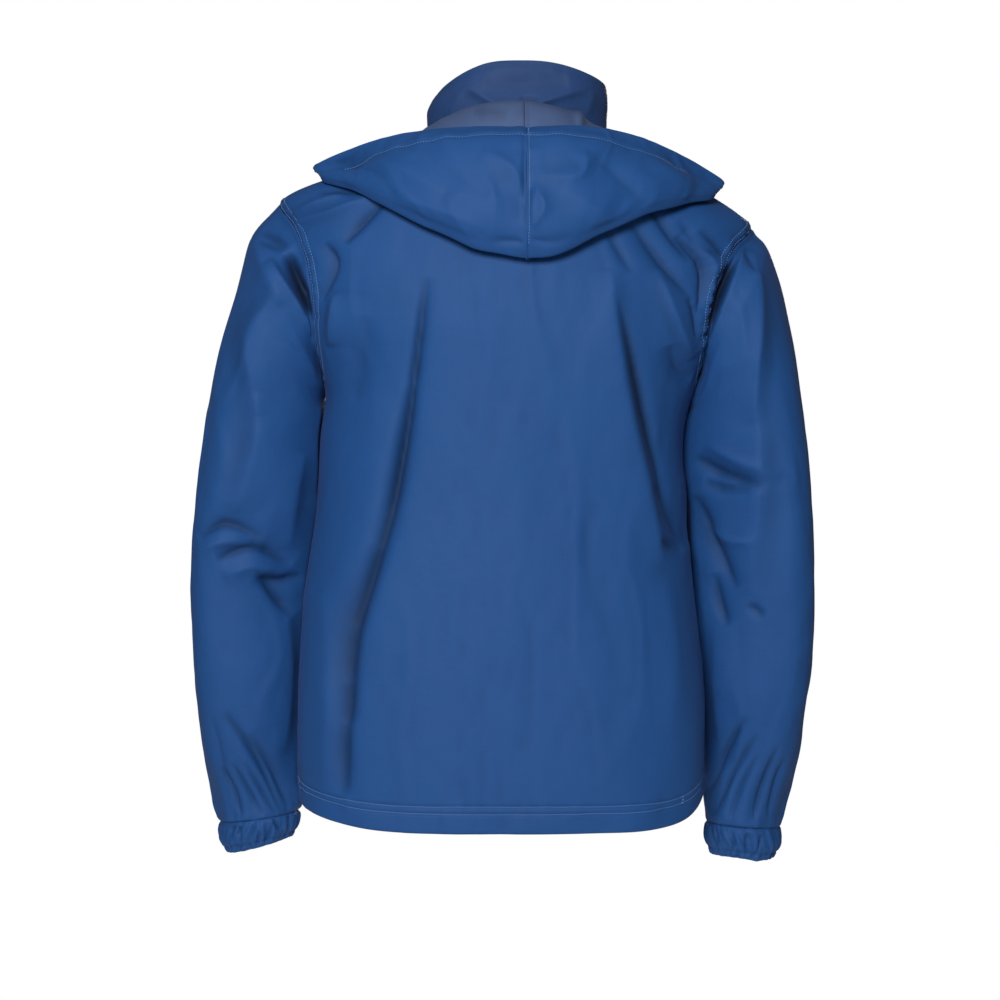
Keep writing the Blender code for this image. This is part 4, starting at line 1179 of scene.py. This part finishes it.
class ParkaBody(bpy.types.Operator):
    """The back and the two fronts, with their creases, seams and turned-up hem"""

    bl_idname = "parka.body"
    bl_label = "Back and fronts"

    def execute(self, context):
        drape, pucker, wall = sizes(context)
        points = back_points(drape, pucker)
        piece = cloth("back_cloth", points, wall, False, False, faces_of(context), ((BACK_CREASES, True),))
        sewn(piece, "back")
        for name, side in (("front_left", 1), ("front_right", -1)):
            points = front_points(side, drape, pucker)
            tables = ((FRONT_CREASES, False),)
            piece = cloth(f"{name}_cloth", points, wall, False, side < 0, faces_of(context), tables)
            sewn(piece, name)
        return {"FINISHED"}


class ParkaSleeves(bpy.types.Operator):
    """The two sleeves with their ruched cuffs"""

    bl_idname = "parka.sleeves"
    bl_label = "Sleeves and cuffs"

    def execute(self, context):
        drape, pucker, wall = sizes(context)
        for name, side in (("left", 1), ("right", -1)):
            points = sleeve_points(side, drape, pucker)
            tables = (SLEEVES[side][1], True), (SLEEVES[side][2], False)
            piece = cloth(f"sleeve_{name}_cloth", points, wall, True, side > 0, faces_of(context), tables)
            sewn(piece, f"sleeve_{name}")
            points = cuff_points(side, pucker)
            tables = ((CUFF_CREASES[side], True),)
            piece = cloth(f"cuff_{name}_cloth", points, wall, True, side > 0, faces_of(context), tables)
            sewn(piece, f"cuff_{name}")
        return {"FINISHED"}


class ParkaCollar(bpy.types.Operator):
    """The stand collar, folded over at its top edge"""

    bl_idname = "parka.collar"
    bl_label = "Collar"

    def execute(self, context):
        drape, _, wall = sizes(context)
        points = collar_points(drape)
        # The collar wears the cloth with painted shade in its colour.
        faces = faces_of(context, "nylon_collar")
        sewn(cloth("collar_cloth", points, wall, False, False, faces), "collar")
        return {"FINISHED"}


class ParkaHood(bpy.types.Operator):
    """The hood's two halves, thrown back"""

    bl_idname = "parka.hood"
    bl_label = "Hood"

    def execute(self, context):
        drape, pucker, wall = sizes(context)
        for name, side in (("hood_left", 1), ("hood_right", -1)):
            points = hood_points(side, drape, pucker)
            piece = cloth(f"{name}_cloth", points, wall, False, side < 0, faces_of(context))
            sewn(piece, name)
        return {"FINISHED"}


class ParkaZip(bpy.types.Operator):
    """The zip's two tapes and its rows of teeth"""

    bl_idname = "parka.zip"
    bl_label = "Zip"

    def execute(self, context):
        look = context.scene.parka_look
        line, out = zip_line()
        faces = [material_of(look, "zip_tape_weave")] * 2
        for name, side in (("zip_left", 1), ("zip_right", -1)):
            strips = [line + np.array([side * x, 0, 0]) + out * y for x, y in ZIP_PROFILE]
            points = np.stack(strips, axis=1)
            piece = cloth(f"{name}_tape", points, TAPE_THICK, False, side < 0, faces)
            sewn(piece, name)
        pitch = context.scene.parka_shape.tooth / MM
        centre, outward = evenly(line, pitch / 2, out)
        side = np.where(np.arange(len(centre)) % 2, 1, -1)[:, None]
        places = centre + side * np.array([1.05, 0, 0]) + outward * 0.5
        forward = unit(np.gradient(centre, axis=0))
        tooth = block(TOOTH, (0, 0, 0), 0.4, 1)
        teeth = copies("zip_teeth", tooth, places, forward, outward, [material_of(look, "zip_coil")])
        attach(teeth, "jacket")
        return {"FINISHED"}


def slider_place():
    """Where the slider sits at the top of the closed zip: its own frame, and its pull's."""
    rises = np.linspace(4, COLLAR[-1][0] - 6.0, 5)
    below, top = ([float(collar_at(name, rise)) for name in ZIP_MIDDLE] for rise in rises[-2:])
    lean = -math.atan2(top[1] - below[1], top[2] - below[2])
    place = Matrix.Translation(Vector(top) * MM) @ Matrix.Rotation(lean, 4, "X")
    return place, place @ Matrix.Translation(Vector((0, -3.35, -4.2)) * MM)


@contextlib.contextmanager
def editing(action="SELECT"):
    """Edit mode for the active object, with everything or nothing selected. None leaves that as it is."""
    bpy.ops.object.mode_set(mode="EDIT")
    if action:
        bpy.ops.mesh.select_all(action=action)
    yield
    bpy.ops.object.mode_set(mode="OBJECT")


def choose(piece, kind, wanted):
    """Selects just the vertices or polygons of the active object that are wanted."""
    with editing("DESELECT"):
        pass
    for element in getattr(piece.data, kind):
        element.select = wanted(element)


def block(size, location, bevel, segments=2):
    """A block with all its edges rounded, in millimetres in the frame of the piece that it is for."""
    bpy.ops.object.select_all(action="DESELECT")
    bpy.ops.mesh.primitive_cube_add(size=1, location=(0, 0, 0))
    with editing():
        bpy.ops.transform.resize(value=[s * MM for s in size], center_override=(0, 0, 0))
        bpy.ops.mesh.bevel(offset=bevel * MM, segments=segments, affect="EDGES")
        bpy.ops.transform.translate(value=[x * MM for x in location])
    return bpy.context.object


def join(pieces, name):
    """Several objects as one."""
    bpy.ops.object.select_all(action="DESELECT")
    for piece in pieces:
        piece.select_set(True)
    bpy.context.view_layer.objects.active = pieces[0]
    bpy.ops.object.join()
    pieces[0].name = name
    return pieces[0]


def set_down(piece, place, material):
    """Moves a finished piece's mesh to its place, so that the object stays at the origin."""
    piece.data.transform(place)
    piece.data.materials.clear()
    piece.data.materials.append(material)
    select_only(piece)
    bpy.ops.object.shade_smooth_by_angle(angle=math.radians(40))


class ParkaSlider(bpy.types.Operator):
    """The slider at the top of the zip, and the pull that hangs in its bridge"""

    bl_idname = "parka.slider"
    bl_label = "Slider and pull"

    def execute(self, context):
        metal = material_of(context.scene.parka_look, "plated_metal")
        place, hinge = slider_place()
        plates = []
        for y in (-1.55, 2.75):
            plate = block((8.2, 1.15, 11.2), (0, y, -3.4), 0.5, 3)
            choose(plate, "vertices", lambda vertex: vertex.co.z < -0.006)
            with editing(None):
                bpy.ops.transform.resize(value=(0.72, 1, 1), center_override=(0, 0, 0))
            plates.append(plate)
        post = block((3.0, 4.6, 2.0), (0, 0.6, 1.1), 0.4)
        flanges = [block((0.9, 1.0, 7.0), (x, y, -3.2), 0.25) for x in (-3.5, 3.5) for y in (-0.75, 2.0)]
        posts = [block((2.2, 3.2, 1.2), (0, -3.3, z), 0.35) for z in (-5.4, 1.3)]
        bridge = block((2.2, 1.1, 7.9), (0, -5.1, -2.05), 0.45, 3)
        slider = join([*plates, post, *flanges, *posts, bridge], "slider_metal")
        set_down(slider, place, metal)
        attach(slider, "jacket")
        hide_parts("zip_slider")
        sides = [block((1.6, 1.1, 8.2), (x, 0, -3.0), 0.4, 3) for x in (-2.4, 2.4)]
        top = block((6.4, 1.15, 1.4), (0, 0, 0.0), 0.5, 3)
        low = block((6.4, 1.15, 1.8), (0, 0, -6.4), 0.4, 3)
        tab = block((6.6, 1.3, 14.5), (0, 0, -13.4), 0.55, 3)
        choose(tab, "polygons", lambda face: abs(face.normal.y) > 0.99)
        with editing(None):
            bpy.ops.mesh.inset(thickness=0.0011, depth=0)
            bpy.ops.mesh.inset(thickness=0.0003, depth=-0.0003)
        ribs = [block((3.4, 1.15, 0.6), (0, 0, z), 0.2) for z in (-15.4, -16.9, -18.4)]
        pull = join([*sides, top, low, tab, *ribs], "pull_metal")
        set_down(pull, hinge, metal)
        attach(pull, "pull")
        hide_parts("zip_pull")
        return {"FINISHED"}


def on_surface(places, tree):
    """The nearest places on a surface, and the ways out of it there."""
    found = [tree.find_nearest(point) for point in places]
    return np.array([hit[0] for hit in found]), np.array([hit[1] for hit in found])


def line_beside(grid, normals, distance):
    """The line across a grid's rows at a distance from their first points, and the ways out of it."""
    along = run_along(grid, 1)

    def read(rows):
        return np.array([[np.interp(distance, at, axis) for axis in row.T] for row, at in zip(rows, along)])

    return read(grid), read(normals)


def stitch_lines(drape, pucker):
    """The lines that the topstitching runs along, group by group, and the ways out of the cloth there."""
    tree = body_tree(drape, pucker, 1)
    turn = np.linspace(-math.pi + 0.08, math.pi - 0.08, 700)
    hems = [ring(body_at, turn, np.full(turn.shape, row)) for row in HEM_ROWS]
    bar = ring(body_at, np.full(12, math.radians(-66)), np.linspace(18, 27, 12))
    hems += [bar + np.array([shift, 0, 0]) for shift in (-0.5, 0.5)]
    ups = np.linspace(4, BACK_LENGTH - 4, 420)
    armholes, zips, hoods = [], [], []
    for side in (1, -1):
        edge, off = (np.concatenate([each, each[:1]]) for each in armhole(side, ARMHOLE_PLACES))
        armholes += [edge - off * row for row in ARMHOLE_STITCHES]
        turns = side * (math.pi - (ZIP_WIDTH / 2 + 2.4) / -body_at("front_y", ups))
        zips.append(ring(body_at, turns, ups))
        hood = hood_points(side, drape, pucker)
        normals = grid_normals(hood, flip=side < 0)
        from_rim = [grid[:, ::-1][:, RIM_TURNED:] for grid in (hood, normals)]
        hoods.append(line_beside(*from_rim, RIM_HEM))
    from_seam = [grid.swapaxes(0, 1)[HOOD_SEAM_SHOWS] for grid in (hood, normals)]
    hoods.append(line_beside(*from_seam, SEAM_STITCHES))
    lines = {"armhole": armholes, "hem": hems, "zip": zips}
    return {name: [on_surface(line, tree) for line in group] for name, group in lines.items()} | {"hood": hoods}


class ParkaStitches(bpy.types.Operator):
    """Every row of topstitching: armholes, hem, zip and hood"""

    bl_idname = "parka.stitches"
    bl_label = "Stitches"

    def execute(self, context):
        drape, pucker, _ = sizes(context)
        pitch = context.scene.parka_shape.stitch / MM
        thread = material_of(context.scene.parka_look, "thread")
        for name, lines in stitch_lines(drape, pucker).items():
            places, forwards, ups = [], [], []
            for line, normal in lines:
                at, up = evenly(line, pitch, normal)
                places.append(at + unit(up) * 0.16)
                forwards.append(unit(np.gradient(at, axis=0)))
                ups.append(unit(up))
            bpy.ops.object.select_all(action="DESELECT")
            bpy.ops.mesh.primitive_uv_sphere_add(segments=5, ring_count=4, radius=1, location=(0, 0, 0))
            with editing():
                bpy.ops.transform.rotate(value=math.radians(90), orient_axis="Y", center_override=(0, 0, 0))
                bpy.ops.transform.resize(value=(0.27 * pitch * MM, 0.0004, 0.00036), center_override=(0, 0, 0))
            joined = (np.concatenate(each) for each in (places, forwards, ups))
            made = copies(f"{name}_stitches", context.object, *joined, [thread])
            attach(made, "jacket")
        return {"FINISHED"}


class ParkaStage(bpy.types.Operator):
    """The floor, the room's light, the lamps and the camera"""

    bl_idname = "parka.stage"
    bl_label = "Studio"

    def execute(self, context):
        studio, scene = context.scene.parka_studio, context.scene
        bpy.ops.object.select_all(action="DESELECT")
        bpy.ops.mesh.primitive_circle_add(
            vertices=128, radius=FLOOR_RADIUS, fill_type="NGON", location=(0, 0, 0),
        )
        floor = context.object
        floor.name = "studio_floor"
        floor.visible_camera = False
        with editing():
            bpy.ops.transform.translate(value=(0, 0, FLOOR_UP))
        floor.data.materials.append(painted("floor_paint", (0.86, 0.86, 0.86)))
        scene.world = bpy.data.worlds.new("white_room")
        scene.world.use_nodes = True
        tree = scene.world.node_tree
        seen = put(tree, "LightPath", "Is Camera Ray", {})
        room = {"Strength": ranged(tree, seen, studio.sky, 1.0), "Color": (1.0, 1.0, 1.0, 1.0)}
        feed(tree, tree.nodes["Background"], room)
        middle = Vector(VIEW_MIDDLE)
        for name, place, size, share in LAMPS:
            data = bpy.data.lights.new(name, "AREA")
            data.size, data.energy = size, studio.key * share
            lamp = bpy.data.objects.new(name, data)
            lamp.location = place
            lamp.rotation_euler = (middle - Vector(place)).to_track_quat("-Z", "Y").to_euler()
            scene.collection.objects.link(lamp)
        view = bpy.data.cameras.new("photo_view")
        view.sensor_width, view.lens, view.clip_end = 36.0, studio.lens, 200.0
        camera = bpy.data.objects.new("photo_view", view)
        camera.location = middle + Vector((0, studio.camera_away, 0))
        camera.rotation_euler = (math.radians(90), 0, math.radians(180))
        scene.collection.objects.link(camera)
        scene.camera = camera
        scene.view_settings.view_transform = "Standard"
        return {"FINISHED"}


class ParkaPanel(bpy.types.Panel):
    """The parka's sizes and colours, and its pieces in the order they are made"""

    bl_idname = "VIEW3D_PT_parka"
    bl_label = "Hooded parka"
    bl_space_type = "VIEW_3D"
    bl_region_type = "UI"
    bl_category = "Parka"

    def draw(self, context):
        scene = context.scene
        for group in (scene.parka_shape, scene.parka_look, scene.parka_studio):
            box = self.layout.box()
            for name in group.__annotations__:
                box.prop(group, name)
        for operator in PIECES:
            self.layout.operator(operator.bl_idname)


GROUPS = (ParkaLook, ParkaShape, ParkaStudio)
PIECES = (ParkaBody, ParkaSleeves, ParkaCollar, ParkaHood, ParkaZip, ParkaSlider, ParkaStitches, ParkaStage)


def register():
    for made in (*GROUPS, *PIECES, ParkaPanel):
        bpy.utils.register_class(made)
    bpy.types.Scene.parka_look = bpy.props.PointerProperty(type=ParkaLook)
    bpy.types.Scene.parka_shape = bpy.props.PointerProperty(type=ParkaShape)
    bpy.types.Scene.parka_studio = bpy.props.PointerProperty(type=ParkaStudio)


def unregister():
    del bpy.types.Scene.parka_look, bpy.types.Scene.parka_shape, bpy.types.Scene.parka_studio
    for made in reversed((*GROUPS, *PIECES, ParkaPanel)):
        bpy.utils.unregister_class(made)


def main():
    """Makes every piece."""
    register()
    bpy.ops.object.select_all(action="DESELECT")
    bpy.ops.parka.body()
    bpy.ops.parka.sleeves()
    bpy.ops.parka.collar()
    bpy.ops.parka.hood()
    bpy.ops.parka.zip()
    bpy.ops.parka.slider()
    bpy.ops.parka.stitches()
    bpy.ops.parka.stage()
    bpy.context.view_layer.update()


if __name__ == "__main__":
    main()
